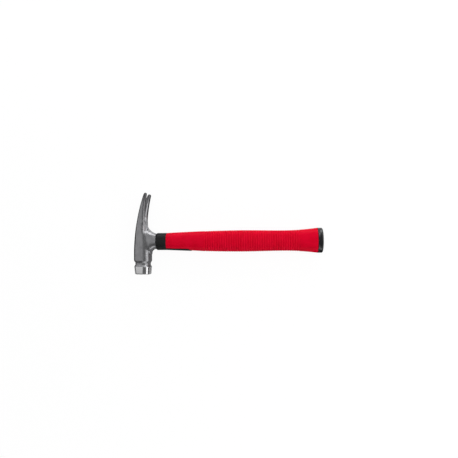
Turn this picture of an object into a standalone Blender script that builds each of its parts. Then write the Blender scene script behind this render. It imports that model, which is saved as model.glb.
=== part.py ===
"""Electrician's hammer: a forged claw head bonded to a glass-fibre core, with jacket, ribbed grip and cap.

Units are metres and +Z is up. The hammer lies on its side: the handle runs along +X, away from the head,
and the claw points to +Y. Shapes are drawn in the hammer's own frame, where x starts at the outer side of
the head, y = 0 is the handle's axis and z = 0 is the plane of symmetry. One empty places it in the world.
"""

import math

import bmesh
import bpy
import numpy as np
from mathutils import Matrix

# Overall sizes
OVERALL_LENGTH = 0.300       # outer side of the head to the end of the cap
CLAW_RISE = 0.0770           # handle axis to the tips of the claw
FACE_DROP = 0.0524           # handle axis to the lowest edge of the striking face
LYING_HALF_DEPTH = 0.0140    # the claw's tips and the cap reach this far from the plane of symmetry
FIT_GAP = 0.0003             # clearance between pieces that seat in or on each other

# Head: the bar from the striking face to the claw
BODY_WIDTH = 0.0246          # outer side to the side that faces the handle
BODY_HALF_DEPTH = 0.01225
OUTER_CHAMFER = 0.0028       # edges of the outer side
NOSE_LENGTH = 0.0112         # rounding of the handle side, along the handle
NOSE_DEPTH = 0.0088          # the same rounding, across the head
OUTER_ARC_RADIUS = 0.285     # the outer side is straight, then bends towards the handle
OUTER_ARC_START = -0.022
SHOULDER_Y = -0.0310         # lower edge of the body on the handle side, above the waist
WAIST_INSET = 0.0016         # depth of the groove between the body and the poll
WAIST_UPPER_SLOPE = 0.0034   # length of the groove's sloping side under the body
WAIST_LOWER_SLOPE = 0.0028   # length of its sloping side over the poll
WAIST_LENGTH = 0.0030        # its straight bottom
POLL_INSET = 0.0003          # the poll is this much smaller than the body on each side
POLL_TAPER = 0.0008          # and narrows by this much on each side, down to the face
FACE_CHAMFER = 0.0006        # edge of the striking face
FACE_LEAN = math.radians(3)  # the face and the waist lean, lower by the handle, to keep the knuckles clear

# Head: the claw
CLAW_ROOT_Y = 0.0340
CLAW_ROOT_THICKNESS = 0.0105
CLAW_TIP_THICKNESS = 0.0040
CLAW_ROOT_HALF_DEPTH = 0.0118
CLAW_EDGE = 0.0016           # chamfer of the claw's outer edges
CLAW_BEVEL_ROOT = 0.0026     # rounding of its edges by the handle, along the handle, at the root
CLAW_BEVEL_TIP = 0.0030      # and at the tips
CLAW_BEVEL_DEPTH = 0.0009    # the same rounding, across the head
CLAW_POINT = 0.0035          # length over which the tips round off
CLAW_BLUNT = 0.44            # thickness left at the very tips, as a part of the full one
CLAW_CORNER = 0.0006         # rounding of the tips' outer corners
SLOT_ROOT_Y = 0.0385         # where the nail slot ends, at the middle of the claw's thickness
SLOT_ROOT_RADIUS = 0.0014
SLOT_TIP_HALF_WIDTH = 0.0072
SLOT_LEAN = math.radians(48)  # the slot's end slopes down towards the handle
SLOT_FLARE = math.radians(40)  # the slot's edges by the handle are flared by this angle
SLOT_FLARE_DEPTH = 0.0018

# Core, bond and neck: the core sets the eye, the eye the neck, and the neck the collar
CORE_HALF_HEIGHT = 0.0076
CORE_HALF_DEPTH = 0.0058
CORE_CLEARANCE = 0.0030      # end of the core to the cap's plug
BOND_AT_NECK = 0.0016        # width of the bond's space round the core, at the neck
BOND_AT_OUTER = 0.0028       # and at the outer side, so that the head can't pull off
BOND_RECESS = 0.0008         # the bond and the core stop this far below the head's outer side
NECK_WALL = 0.0025           # above and below the eye
NECK_SIDE_WALL = 0.0038      # beside the eye
NECK_START = 0.0105          # the neck's root lies inside the bar from here on
NECK_END = 0.0345
NECK_TOP_POWER = 4.5         # superellipse exponent of the neck's sections, above the axis
NECK_LOW_POWER = 2.2         # and below it
SHOULDER_RISE = 0.0067       # the neck's flat sides end this far above its height at the collar
WEB_HALF_DEPTH = 0.0085      # the slimmer web above them, up to the claw
WEB_POWER = 2.2              # superellipse exponent of the web's sections
WEB_SINK = 0.0030            # length and depth to which the web's end is sunk in the neck
NECK_TOP_RADIUS = 0.0240     # the large fillet up to the claw
NECK_TOP_SLOPE = math.radians(10)  # slope of that fillet where it meets the collar
NECK_TOP_TURN = math.radians(54)   # slope where it ends
NECK_TOP_RUN = math.radians(69)    # slope of the straight run on from there, into the claw
NECK_ROOT_TOP = 0.0340       # height at which it is lost in the claw
NECK_LOW_RADIUS = 0.0090     # the fillet down to the body
NECK_LOW_PROUD = 0.0004      # how far that fillet stands out where it runs out on the body

# Handle: sections along the collar, the grip and the cap
COLLAR_LENGTH = 0.0157
COLLAR_STEP = 0.0020         # the collar stands this far above and below the neck
COLLAR_SIDE_STEP = 0.0009    # and this far beside it
COLLAR_ROUND = 0.0014        # rounding of the collar's edge by the head
BELLY_X = 0.1730
BELLY_HALF_HEIGHT = 0.0174
BELLY_HALF_DEPTH = 0.0133
GRIP_WAIST_TO_END = 0.0640   # narrowest place of the grip to the end of the cap
GRIP_WAIST_HALF_HEIGHT = 0.0166
GRIP_WAIST_HALF_DEPTH = 0.0125
BUTT_HALF_HEIGHT = 0.0201
SWELL_POWER = 1.65           # how the grip swells from the collar to the belly
FLARE_POWER = 2.2            # how it flares from the waist to the cap
OVAL_POWER = 2.5             # superellipse exponent of the handle's sections
GRIP_WALL = 0.0030

# Ribs round the grip
RIB_PITCH = 0.00373
RIB_DEPTH = 0.0005
RIBS_FROM_COLLAR = 0.0601    # collar to the first rib
RIBS_TO_END = 0.0345         # last rib to the end of the cap

# Overstrike guard: a tongue of the jacket on the underside, towards the striking face
GUARD_LENGTH = 0.0391
GUARD_HALF_WIDTH = 0.0084
GUARD_TIP_LENGTH = 0.0045    # length of its half oval tip
GUARD_PROUD = 0.0006         # the guard's tip stands this far out of the grip's underside
GUARD_RUNOUT = 0.0300        # length past the tip over which the grip is full again

# End cap
CAP_LENGTH = 0.0085
CAP_ROUND = 0.0022
CAP_PLUG = 0.0150            # length of the cap's plug, inside the jacket

# Facets and cutters
NOSE_POINTS = 6
OVAL_POINTS = 32
GRIP_POINTS = 36
CUT_MARGIN = 0.010           # how far a cutter reaches past what it cuts

# Sizes that follow from those above
CORE = (CORE_HALF_HEIGHT, CORE_HALF_DEPTH)
EYE_NECK = (CORE_HALF_HEIGHT + BOND_AT_NECK, CORE_HALF_DEPTH + BOND_AT_NECK)
EYE_OUTER = (CORE_HALF_HEIGHT + BOND_AT_OUTER, CORE_HALF_DEPTH + BOND_AT_OUTER)
CORE_HOLE = (CORE_HALF_HEIGHT + FIT_GAP, CORE_HALF_DEPTH + FIT_GAP)
NECK_HALF_HEIGHT = EYE_NECK[0] + NECK_WALL
NECK_HALF_DEPTH = EYE_NECK[1] + NECK_SIDE_WALL
NECK_SHOULDER = NECK_HALF_HEIGHT + SHOULDER_RISE
COLLAR_HALF_HEIGHT = NECK_HALF_HEIGHT + COLLAR_STEP
COLLAR_HALF_DEPTH = NECK_HALF_DEPTH + COLLAR_SIDE_STEP
COLLAR_START = NECK_END + FIT_GAP
COLLAR_END = COLLAR_START + COLLAR_LENGTH
GUARD_TIP = COLLAR_END + GUARD_LENGTH
CAP_START = OVERALL_LENGTH - CAP_LENGTH
PLUG_START = CAP_START - CAP_PLUG
GRIP_START = COLLAR_END + FIT_GAP
GRIP_END = CAP_START - FIT_GAP
GRIP_WAIST_X = OVERALL_LENGTH - GRIP_WAIST_TO_END
SLEEVE_STATIONS = np.linspace(COLLAR_END, GRIP_END, 22)
POLL_FACE_INSET = POLL_INSET + POLL_TAPER + FACE_CHAMFER


# Helpers

def clear_scene():
    """Remove every object of the startup scene."""
    for obj in list(bpy.data.objects):
        bpy.data.objects.remove(obj)


def make_collection(name):
    collection = bpy.data.collections.new(name)
    bpy.context.scene.collection.children.link(collection)
    return collection


def make_material(name, colour, roughness, metallic):
    material = bpy.data.materials.new(name)
    material.use_nodes = True
    shader = material.node_tree.nodes["Principled BSDF"]
    shader.inputs["Base Color"].default_value = (*colour, 1.0)
    shader.inputs["Roughness"].default_value = roughness
    shader.inputs["Metallic"].default_value = metallic
    return material


def add_object(name, mesh, collection):
    """Weld a new mesh, point its faces outwards, shade its round faces smooth and link it as an object."""
    work = bmesh.new()
    work.from_mesh(mesh)
    bmesh.ops.remove_doubles(work, verts=work.verts, dist=1e-6)
    bmesh.ops.recalc_face_normals(work, faces=work.faces)
    work.to_mesh(mesh)
    work.free()
    mesh.shade_smooth()
    mesh.set_sharp_from_angle(angle=math.radians(30))
    obj = bpy.data.objects.new(name, mesh)
    collection.objects.link(obj)
    return obj


def loft(name, rings, collection):
    """A closed solid through unlike rings of equally many points, capped at both ends."""
    rings = np.asarray(rings)
    count, points = rings.shape[:2]
    faces = []
    for i in range(count - 1):
        for j in range(points):
            k = (j + 1) % points
            faces.append((i * points + j, i * points + k, (i + 1) * points + k, (i + 1) * points + j))
    faces.append(tuple(range(points)))
    faces.append(tuple(range((count - 1) * points, count * points)))
    mesh = bpy.data.meshes.new(name)
    mesh.from_pydata(rings.reshape(-1, 3).tolist(), [], faces)
    return add_object(name, mesh, collection)


def oval_rod(name, start, end, half_sizes, collection):
    """An oval rod along x: a cylinder primitive, turned and flattened."""
    half_height, half_depth = half_sizes
    place = Matrix.Translation(((start + end) / 2, 0.0, 0.0))
    flatten = Matrix.Diagonal((1.0, half_height, half_depth, 1.0))
    turn = Matrix.Rotation(math.pi / 2, 4, "Y")
    work = bmesh.new()
    bmesh.ops.create_cone(work, cap_ends=True, segments=OVAL_POINTS, radius1=1.0, radius2=1.0,
                          depth=end - start, matrix=place @ flatten @ turn)
    mesh = bpy.data.meshes.new(name)
    work.to_mesh(mesh)
    work.free()
    return add_object(name, mesh, collection)


def prism(name, outline, thickness, place, collection):
    """A flat outline as a filled 2D curve, extruded to both sides, made a mesh and placed."""
    curve = bpy.data.curves.new(name, "CURVE")
    curve.dimensions = "2D"
    curve.fill_mode = "BOTH"
    curve.extrude = thickness / 2
    spline = curve.splines.new("POLY")
    spline.points.add(len(outline) - 1)
    for point, (u, v) in zip(spline.points, outline):
        point.co = (u, v, 0.0, 1.0)
    spline.use_cyclic_u = True
    flat = bpy.data.objects.new(name, curve)
    collection.objects.link(flat)
    graph = bpy.context.evaluated_depsgraph_get()
    mesh = bpy.data.meshes.new_from_object(flat.evaluated_get(graph))
    bpy.data.objects.remove(flat)
    mesh.transform(place)
    return add_object(name, mesh, collection)


def combine(obj, operation, tool):
    """A Boolean with a tool that stays out of the model."""
    modifier = obj.modifiers.new(operation.lower() + "_" + tool.name, "BOOLEAN")
    modifier.operation = operation
    modifier.object = tool
    modifier.solver = "EXACT"
    tool.hide_render = True
    tool.display_type = "WIRE"


def arc(centre, radii, start, end, count):
    """Points of an elliptical arc, both ends included."""
    angles = np.linspace(start, end, count)
    return np.stack([centre[0] + radii[0] * np.cos(angles), centre[1] + radii[1] * np.sin(angles)], axis=1)


def oval_ring(x, top, bottom, half_depth, top_power, low_power, count):
    """A superellipse across the handle, whose upper and lower halves may differ in height and exponent."""
    angles = np.arange(count) * 2 * math.pi / count
    up, side = np.sin(angles), np.cos(angles)
    power = np.where(up > 0, top_power, low_power)
    y = np.where(up > 0, top, bottom) * np.sign(up) * np.abs(up) ** (2 / power)
    z = half_depth * np.sign(side) * np.abs(side) ** (2 / power)
    return np.stack([np.full(count, x), y, z], axis=1)


def ease(value):
    """Smooth step from 0 to 1."""
    value = min(max(value, 0.0), 1.0)
    return value * value * (3 - 2 * value)


def between(first, last, blend):
    return first + blend * (last - first)


# Head

def outer_x(y):
    """The head's outer side: straight by the poll, then an arc towards the handle."""
    rise = max(y - OUTER_ARC_START, 0.0)
    return OUTER_ARC_RADIUS - math.sqrt(OUTER_ARC_RADIUS ** 2 - rise ** 2)


def bar_thickness(y):
    """Size of the bar along the handle: the body's width, tapering to the claw's root and on to its tips."""
    if y >= CLAW_ROOT_Y:
        return between(CLAW_ROOT_THICKNESS, CLAW_TIP_THICKNESS, (y - CLAW_ROOT_Y) / (CLAW_RISE - CLAW_ROOT_Y))
    into_claw = max((y + NECK_HALF_HEIGHT) / (CLAW_ROOT_Y + NECK_HALF_HEIGHT), 0.0)
    return between(BODY_WIDTH, CLAW_ROOT_THICKNESS, into_claw)


def bar_half_depth(y):
    """Half the size of the bar across the head: slimmer at the claw's root, then spreading to its tips."""
    if y >= CLAW_ROOT_Y:
        spread = (y - CLAW_ROOT_Y) / (CLAW_RISE - CLAW_POINT - CLAW_ROOT_Y)
        return between(CLAW_ROOT_HALF_DEPTH, LYING_HALF_DEPTH, spread)
    return between(BODY_HALF_DEPTH, CLAW_ROOT_HALF_DEPTH, ease(y / CLAW_ROOT_Y))


def nose_reach(y):
    """Length of the handle side's rounding, so that the flat cheek's edge runs straight from body to claw."""
    if y >= CLAW_ROOT_Y:
        return between(CLAW_BEVEL_ROOT, CLAW_BEVEL_TIP, (y - CLAW_ROOT_Y) / (CLAW_RISE - CLAW_ROOT_Y))
    at_claw = outer_x(CLAW_ROOT_Y) + CLAW_ROOT_THICKNESS - CLAW_BEVEL_ROOT
    cheek_edge = between(BODY_WIDTH - NOSE_LENGTH, at_claw, max(y / CLAW_ROOT_Y, 0.0))
    return outer_x(y) + bar_thickness(y) - cheek_edge


def bar_ring(y, inset=0.0):
    """One section of the bar: a chamfered outer side, flat cheeks and a round side towards the handle."""
    into_claw = ease(y / CLAW_ROOT_Y)
    low = outer_x(y) + inset
    high = outer_x(y) + bar_thickness(y) - inset
    half = bar_half_depth(y) - inset
    chamfer = between(OUTER_CHAMFER, CLAW_EDGE, into_claw)
    nose_length = min(nose_reach(y), high - low - chamfer)
    nose_depth = between(NOSE_DEPTH, CLAW_BEVEL_DEPTH, into_claw)
    nose_centre = (high - nose_length, half - nose_depth)
    nose = arc(nose_centre, (nose_length, nose_depth), math.pi / 2, 0.0, NOSE_POINTS)
    side = np.vstack([[(low, half - chamfer), (low + chamfer, half)], nose])
    section = np.vstack([side, side[::-1] * (1, -1)])
    return np.stack([section[:, 0], np.full(len(section), y), section[:, 1]], axis=1)


def leaning_ring(y, inset):
    """A section of the poll or waist, turned so that its handle side is its lowest."""
    ring = bar_ring(y, inset)
    ring[:, 1] += (BODY_WIDTH - POLL_FACE_INSET - ring[:, 0]) * math.tan(FACE_LEAN)
    return ring


def tip_ring(along):
    """A section within the rounded tips: thinner towards its own middle, with its corners drawn in."""
    start = CLAW_RISE - CLAW_POINT
    y = start + CLAW_POINT * along
    ring = bar_ring(start)
    middle = (ring[:, 0].max() + ring[:, 0].min()) / 2
    thin = math.sqrt(1 - (1 - CLAW_BLUNT ** 2) * along ** 2)
    narrow = 1 - CLAW_CORNER / LYING_HALF_DEPTH * (1 - math.sqrt(1 - along ** 2))
    ring[:, 0] = middle + (ring[:, 0] - middle) * thin + outer_x(y) - outer_x(start)
    ring[:, 1] = y
    ring[:, 2] *= narrow
    return ring


def poll_rings():
    """From the face up to the shoulder: chamfer, tapered poll, groove. Each height is on the handle side."""
    waist_top = SHOULDER_Y - WAIST_UPPER_SLOPE
    waist_bottom = waist_top - WAIST_LENGTH
    poll_top = waist_bottom - WAIST_LOWER_SLOPE
    return [
        leaning_ring(-FACE_DROP, POLL_FACE_INSET),
        leaning_ring(-FACE_DROP + FACE_CHAMFER, POLL_INSET + POLL_TAPER),
        leaning_ring(poll_top, POLL_INSET),
        leaning_ring(waist_bottom, WAIST_INSET),
        leaning_ring(waist_top, WAIST_INSET),
        leaning_ring(SHOULDER_Y, 0.0),
    ]


def make_bar(collection):
    rings = poll_rings()
    rings += [bar_ring(y) for y in np.linspace(OUTER_ARC_START, CLAW_ROOT_Y, 11)]
    rings += [bar_ring(y) for y in np.linspace(CLAW_ROOT_Y, CLAW_RISE - CLAW_POINT, 9)[1:]]
    rings += [tip_ring(along) for along in (0.4, 0.7, 0.9, 1.0)]
    return loft("hammer_head", rings, collection)


def neck_top_centre():
    """Centre of the arc in the neck's upper outline."""
    centre_x = NECK_END + NECK_TOP_RADIUS * math.sin(NECK_TOP_SLOPE)
    return centre_x, NECK_HALF_HEIGHT + NECK_TOP_RADIUS * math.cos(NECK_TOP_SLOPE)


def neck_top(x):
    """Upper outline of the neck: an arc that turns up from the collar, then a steeper run into the claw."""
    centre_x, centre_y = neck_top_centre()
    reach = min(centre_x - x, NECK_TOP_RADIUS * math.sin(NECK_TOP_TURN))
    run = (centre_x - x - reach) * math.tan(NECK_TOP_RUN)
    return min(centre_y - math.sqrt(NECK_TOP_RADIUS ** 2 - reach ** 2) + run, NECK_ROOT_TOP)


def neck_bottom(x):
    """Lower outline of the neck, as a drop from the axis: an arc into the handle side of the body."""
    centre_x = BODY_WIDTH + NECK_LOW_PROUD + NECK_LOW_RADIUS
    reach = min(max(centre_x - x, 0.0), NECK_LOW_RADIUS)
    return NECK_HALF_HEIGHT + NECK_LOW_RADIUS - math.sqrt(NECK_LOW_RADIUS ** 2 - reach ** 2)


def make_neck(collection):
    """The neck: flat sides up to a shoulder, and a round fillet below, into the body."""
    rings = []
    for x in np.linspace(NECK_START, NECK_END, 21):
        heights = (min(neck_top(x), NECK_SHOULDER), neck_bottom(x))
        rings.append(oval_ring(x, *heights, NECK_HALF_DEPTH, NECK_TOP_POWER, NECK_LOW_POWER, OVAL_POINTS))
    return loft("neck", rings, collection)


def make_web(collection):
    """The web: slimmer than the neck, it carries the upper outline on from the shoulder into the claw."""
    centre_x, centre_y = neck_top_centre()
    shoulder_x = centre_x - math.sqrt(NECK_TOP_RADIUS ** 2 - (centre_y - NECK_SHOULDER) ** 2)
    outline = [(x, neck_top(x)) for x in np.linspace(NECK_START, shoulder_x, 13)]
    outline.append((shoulder_x + WEB_SINK, NECK_SHOULDER - WEB_SINK))
    form = (NECK_HALF_HEIGHT, WEB_HALF_DEPTH, WEB_POWER, WEB_POWER, OVAL_POINTS)
    return loft("web", [oval_ring(x, top, *form) for x, top in outline], collection)


def eye_form(name, start, end, grow, collection):
    """The eye's tapered oval from start to end, grown or shrunk by a clearance."""
    rings = []
    for x in (start, end):
        height = between(EYE_OUTER[0], EYE_NECK[0], x / NECK_END) + grow
        depth = between(EYE_OUTER[1], EYE_NECK[1], x / NECK_END) + grow
        rings.append(oval_ring(x, height, height, depth, 2.0, 2.0, OVAL_POINTS))
    return loft(name, rings, collection)


def slot_sizes():
    """Of the nail slot: where its end is along the handle, the angle between its sides, and their length."""
    root_x = outer_x(SLOT_ROOT_Y) + bar_thickness(SLOT_ROOT_Y) / 2
    tip_x = outer_x(CLAW_RISE) + CLAW_TIP_THICKNESS / 2
    rise = CLAW_RISE - SLOT_ROOT_Y + (tip_x - root_x) * math.tan(SLOT_LEAN)
    return root_x, math.atan2(SLOT_TIP_HALF_WIDTH - SLOT_ROOT_RADIUS, rise), rise + CUT_MARGIN


def slot_outline(radius):
    """A narrow V with a round end of this radius; its sides stay parallel when the radius changes."""
    _, spread, top = slot_sizes()
    mouth = radius + top * math.tan(spread)
    root = arc((0.0, 0.0), (radius, radius), math.pi + spread, 2 * math.pi - spread, 9)
    return np.vstack([root, [(mouth, top), (-mouth, top)]])


def make_slot(collection):
    """Cutter for the nail slot: the V, all of it sloping out towards the handle."""
    root_x = slot_sizes()[0]
    place = Matrix(((0, 0, 1, root_x), (0, 1, -math.tan(SLOT_LEAN), SLOT_ROOT_Y), (1, 0, 0, 0), (0, 0, 0, 1)))
    thickness = 2 * (BODY_WIDTH + CUT_MARGIN)
    return prism("nail_slot", slot_outline(SLOT_ROOT_RADIUS), thickness, place, collection)


def make_slot_flare(collection):
    """Cutter for the slot's flared edges: the V again, widening from just below the claw's handle side."""
    root_x, lean = slot_sizes()[0], math.tan(SLOT_LEAN)
    first_y, last_y = CLAW_ROOT_Y, CLAW_RISE - CLAW_POINT
    first_x, last_x = (outer_x(y) + bar_thickness(y) for y in (first_y, last_y))
    tilt = (last_x - first_x) / (last_y - first_y)
    rings = []
    for height in (-1.4 * SLOT_FLARE_DEPTH, CUT_MARGIN):
        radius = SLOT_ROOT_RADIUS + (height + SLOT_FLARE_DEPTH) * math.tan(SLOT_FLARE)
        z, along = slot_outline(radius).T
        x = (first_x + height + tilt * (SLOT_ROOT_Y + along + lean * root_x - first_y)) / (1 + tilt * lean)
        rings.append(np.stack([x, SLOT_ROOT_Y + along - lean * (x - root_x), z], axis=1))
    return loft("slot_flare", rings, collection)


def make_head(parts, tools):
    head = make_bar(parts)
    combine(head, "UNION", make_neck(tools))
    combine(head, "UNION", make_web(tools))
    combine(head, "DIFFERENCE", eye_form("eye", -CUT_MARGIN, NECK_END + CUT_MARGIN, 0.0, tools))
    combine(head, "DIFFERENCE", make_slot(tools))
    combine(head, "DIFFERENCE", make_slot_flare(tools))
    return head


# Handle

def handle_sizes(x):
    """Half height and half depth of the handle at x: a swell to the belly, a waist, a flare to the cap."""
    collar = (COLLAR_HALF_HEIGHT, COLLAR_HALF_DEPTH)
    belly = (BELLY_HALF_HEIGHT, BELLY_HALF_DEPTH)
    waist = (GRIP_WAIST_HALF_HEIGHT, GRIP_WAIST_HALF_DEPTH)
    butt = (BUTT_HALF_HEIGHT, LYING_HALF_DEPTH)
    if x <= BELLY_X:
        along = max((x - COLLAR_END) / (BELLY_X - COLLAR_END), 0.0)
        first, last, blend = collar, belly, 1 - (1 - along) ** SWELL_POWER
    elif x <= GRIP_WAIST_X:
        first, last, blend = belly, waist, ease((x - BELLY_X) / (GRIP_WAIST_X - BELLY_X))
    else:
        along = min((x - GRIP_WAIST_X) / (CAP_START - GRIP_WAIST_X), 1.0)
        first, last, blend = waist, butt, along ** FLARE_POWER
    return between(first[0], last[0], blend), between(first[1], last[1], blend)


def handle_ring(x, offset, count, relief=0.0):
    """A section of the handle, grown by an offset and drawn in on its underside by a relief."""
    height, depth = handle_sizes(x)
    top = height + offset
    return oval_ring(x, top, top - relief, depth + offset, OVAL_POWER, OVAL_POWER, count)


def guard_prism(name, grow, collection):
    """The overstrike guard seen from below, with an oval tip, standing from the axis to below the handle."""
    half_width = GUARD_HALF_WIDTH + grow
    root_x = COLLAR_END - COLLAR_LENGTH / 2
    tip_radii = (GUARD_TIP_LENGTH + grow, half_width)
    tip = arc((GUARD_TIP - GUARD_TIP_LENGTH, 0.0), tip_radii, -math.pi / 2, math.pi / 2, 15)
    outline = np.vstack([tip, [(root_x, half_width), (root_x, -half_width)]])
    height = 2 * BELLY_HALF_HEIGHT
    stand = Matrix(((1, 0, 0, 0), (0, 0, 1, -height / 2), (0, 1, 0, 0), (0, 0, 0, 1)))
    return prism(name, outline, height, stand, collection)


def make_core(parts):
    start = BOND_RECESS + outer_x(0.0)
    return oval_rod("handle_core", start, PLUG_START - CORE_CLEARANCE, CORE, parts)


def make_bond(parts, tools):
    """The cast bond: the eye's form less a clearance, with the core's hole through it."""
    start = BOND_RECESS + outer_x(0.0)
    bond = eye_form("eye_bond", start, NECK_END, -FIT_GAP, parts)
    hole = oval_rod("bond_hole", start - CUT_MARGIN, NECK_END + CUT_MARGIN, CORE_HOLE, tools)
    combine(bond, "DIFFERENCE", hole)
    return bond


def make_jacket(parts, tools):
    """The hard jacket: the collar, a sleeve under the grip, and the overstrike guard."""
    rings = []
    for angle in np.linspace(0.0, math.pi / 2, 4):
        x = COLLAR_START + COLLAR_ROUND * (1 - math.cos(angle))
        rings.append(handle_ring(x, -COLLAR_ROUND * (1 - math.sin(angle)), OVAL_POINTS))
    rings.append(handle_ring(COLLAR_END, 0.0, OVAL_POINTS))
    rings += [handle_ring(x, -GRIP_WALL, OVAL_POINTS) for x in SLEEVE_STATIONS]
    jacket = loft("core_jacket", rings, parts)
    guard_start = COLLAR_END - COLLAR_LENGTH / 2
    guard_rings = [handle_ring(x, 0.0, OVAL_POINTS) for x in np.linspace(guard_start, GUARD_TIP, 9)]
    guard = loft("guard", guard_rings, tools)
    combine(guard, "INTERSECT", guard_prism("guard_outline", 0.0, tools))
    combine(jacket, "UNION", guard)
    bore = oval_rod("jacket_bore", COLLAR_START - CUT_MARGIN, GRIP_END + CUT_MARGIN, CORE_HOLE, tools)
    combine(jacket, "DIFFERENCE", bore)
    return jacket


def grip_relief(x):
    """How far the grip's underside is drawn in: growing along the guard, gone some way past its tip."""
    return GUARD_PROUD * ease((x - COLLAR_END) / GUARD_LENGTH) * (1 - ease((x - GUARD_TIP) / GUARD_RUNOUT))


def make_grip(parts, tools):
    """The ribbed grip: a sleeve over the jacket, with a notch that the overstrike guard fills."""
    first = COLLAR_END + RIBS_FROM_COLLAR
    ribs = int((OVERALL_LENGTH - RIBS_TO_END - first) / RIB_PITCH)
    last = first + ribs * RIB_PITCH
    rings = [handle_ring(x, 0.0, GRIP_POINTS, grip_relief(x)) for x in np.linspace(GRIP_START, first, 10)]
    for crest in np.linspace(first, last, ribs + 1)[1:]:
        valley = crest - RIB_PITCH / 2
        rings.append(handle_ring(valley, -RIB_DEPTH, GRIP_POINTS, grip_relief(valley)))
        rings.append(handle_ring(crest, 0.0, GRIP_POINTS, grip_relief(crest)))
    rings += [handle_ring(x, 0.0, GRIP_POINTS) for x in np.linspace(last, GRIP_END, 8)[1:]]
    grip = loft("soft_grip", rings, parts)
    stations = [COLLAR_END - CUT_MARGIN, *SLEEVE_STATIONS, GRIP_END + CUT_MARGIN]
    sleeve = [handle_ring(x, FIT_GAP - GRIP_WALL, OVAL_POINTS) for x in stations]
    combine(grip, "DIFFERENCE", loft("grip_bore", sleeve, tools))
    combine(grip, "DIFFERENCE", guard_prism("guard_notch", FIT_GAP, tools))
    return grip


def make_cap(parts, tools):
    """The end cap: a rounded button that closes the grip, with a plug that seats in the jacket."""
    rings = [handle_ring(CAP_START, 0.0, OVAL_POINTS)]
    for angle in np.linspace(0.0, math.pi / 2, 6):
        x = OVERALL_LENGTH - CAP_ROUND * (1 - math.sin(angle))
        rings.append(handle_ring(x, -CAP_ROUND * (1 - math.cos(angle)), OVAL_POINTS))
    cap = loft("end_cap", rings, parts)
    combine(cap, "UNION", oval_rod("plug", PLUG_START, CAP_START + CAP_LENGTH / 2, CORE, tools))
    return cap


def main():
    clear_scene()
    parts = make_collection("electrician_hammer")
    tools = make_collection("cutters")
    steel = make_material("forged_steel", (0.34, 0.34, 0.36), 0.38, 1.0)
    fibre = make_material("glass_fibre", (0.72, 0.66, 0.45), 0.5, 0.0)
    resin = make_material("cast_resin", (0.05, 0.05, 0.05), 0.45, 0.0)
    hard_black = make_material("hard_black", (0.015, 0.020, 0.018), 0.5, 0.0)
    soft_red = make_material("soft_red", (0.70, 0.004, 0.025), 0.5, 0.0)
    cap_black = make_material("cap_black", (0.013, 0.012, 0.015), 0.4, 0.0)
    pieces = [
        (make_head(parts, tools), steel),
        (make_core(parts), fibre),
        (make_bond(parts, tools), resin),
        (make_jacket(parts, tools), hard_black),
        (make_grip(parts, tools), soft_red),
        (make_cap(parts, tools), cap_black),
    ]
    frame = bpy.data.objects.new("hammer_frame", None)
    parts.objects.link(frame)
    frame.location = (-OVERALL_LENGTH / 2, (FACE_DROP - CLAW_RISE) / 2, LYING_HALF_DEPTH)
    for obj, material in pieces:
        obj.data.materials.append(material)
        obj.parent = frame
    for tool in tools.objects:
        tool.parent = frame


main()
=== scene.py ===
# %% [markdown]
# An electrician's hammer, lying on its side.
#
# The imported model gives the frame: six solids with the right sizes and places. This lesson gives each of them
# the surface that the real piece has. A forged head, a glass-fibre core, a resin bond, a hard jacket, a
# ribbed rubber grip and an end cap are worked out as numpy arrays and put where their solids are.

# %% Load the frame
import math

import bmesh
import bpy
import numpy as np
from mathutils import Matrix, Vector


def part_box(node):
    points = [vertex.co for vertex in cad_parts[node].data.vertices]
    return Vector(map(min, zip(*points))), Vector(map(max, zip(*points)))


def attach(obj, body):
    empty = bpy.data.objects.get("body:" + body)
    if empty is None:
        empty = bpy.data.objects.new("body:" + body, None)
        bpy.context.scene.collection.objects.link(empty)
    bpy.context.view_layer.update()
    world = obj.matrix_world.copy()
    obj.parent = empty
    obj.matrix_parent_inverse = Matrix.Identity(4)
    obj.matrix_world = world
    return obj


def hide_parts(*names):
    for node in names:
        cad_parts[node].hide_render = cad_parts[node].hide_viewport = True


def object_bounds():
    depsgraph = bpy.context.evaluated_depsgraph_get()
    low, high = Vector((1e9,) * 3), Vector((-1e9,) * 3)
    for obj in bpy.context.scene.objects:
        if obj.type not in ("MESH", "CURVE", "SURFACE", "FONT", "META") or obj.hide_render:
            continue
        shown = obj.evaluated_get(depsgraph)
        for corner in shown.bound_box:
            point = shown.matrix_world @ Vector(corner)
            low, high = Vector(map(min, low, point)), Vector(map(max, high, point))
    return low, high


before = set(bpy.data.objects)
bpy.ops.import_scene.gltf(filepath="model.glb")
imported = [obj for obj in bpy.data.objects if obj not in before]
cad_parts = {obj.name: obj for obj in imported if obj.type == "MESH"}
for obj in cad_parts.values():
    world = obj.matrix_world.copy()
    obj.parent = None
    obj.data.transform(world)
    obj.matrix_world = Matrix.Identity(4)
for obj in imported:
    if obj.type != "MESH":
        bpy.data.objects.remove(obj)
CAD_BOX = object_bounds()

print("nodes of the frame:", sorted(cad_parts))

# %% [markdown]
# Every shape below is drawn in the hammer's own frame: x starts at the outer side of the head and runs down
# the handle, y = 0 is the handle's axis with the claw at +y, and z = 0 is the plane of symmetry. The core
# lies on the axis, so the middle of its box gives y and z, and the head's lowest corner gives x.

# %% Where the hammer's own frame lies
core_low, core_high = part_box("handle_core")
core_middle = (core_low + core_high) / 2
ORIGIN = np.array([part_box("hammer_head")[0].x, core_middle.y, core_middle.z])
OVERALL_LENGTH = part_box("end_cap")[1].x - ORIGIN[0]
LYING_HALF_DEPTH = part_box("end_cap")[1].z - ORIGIN[2]

print("origin of the hammer's frame:", ORIGIN.round(4).tolist(), "length:", round(OVERALL_LENGTH, 4))

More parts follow.
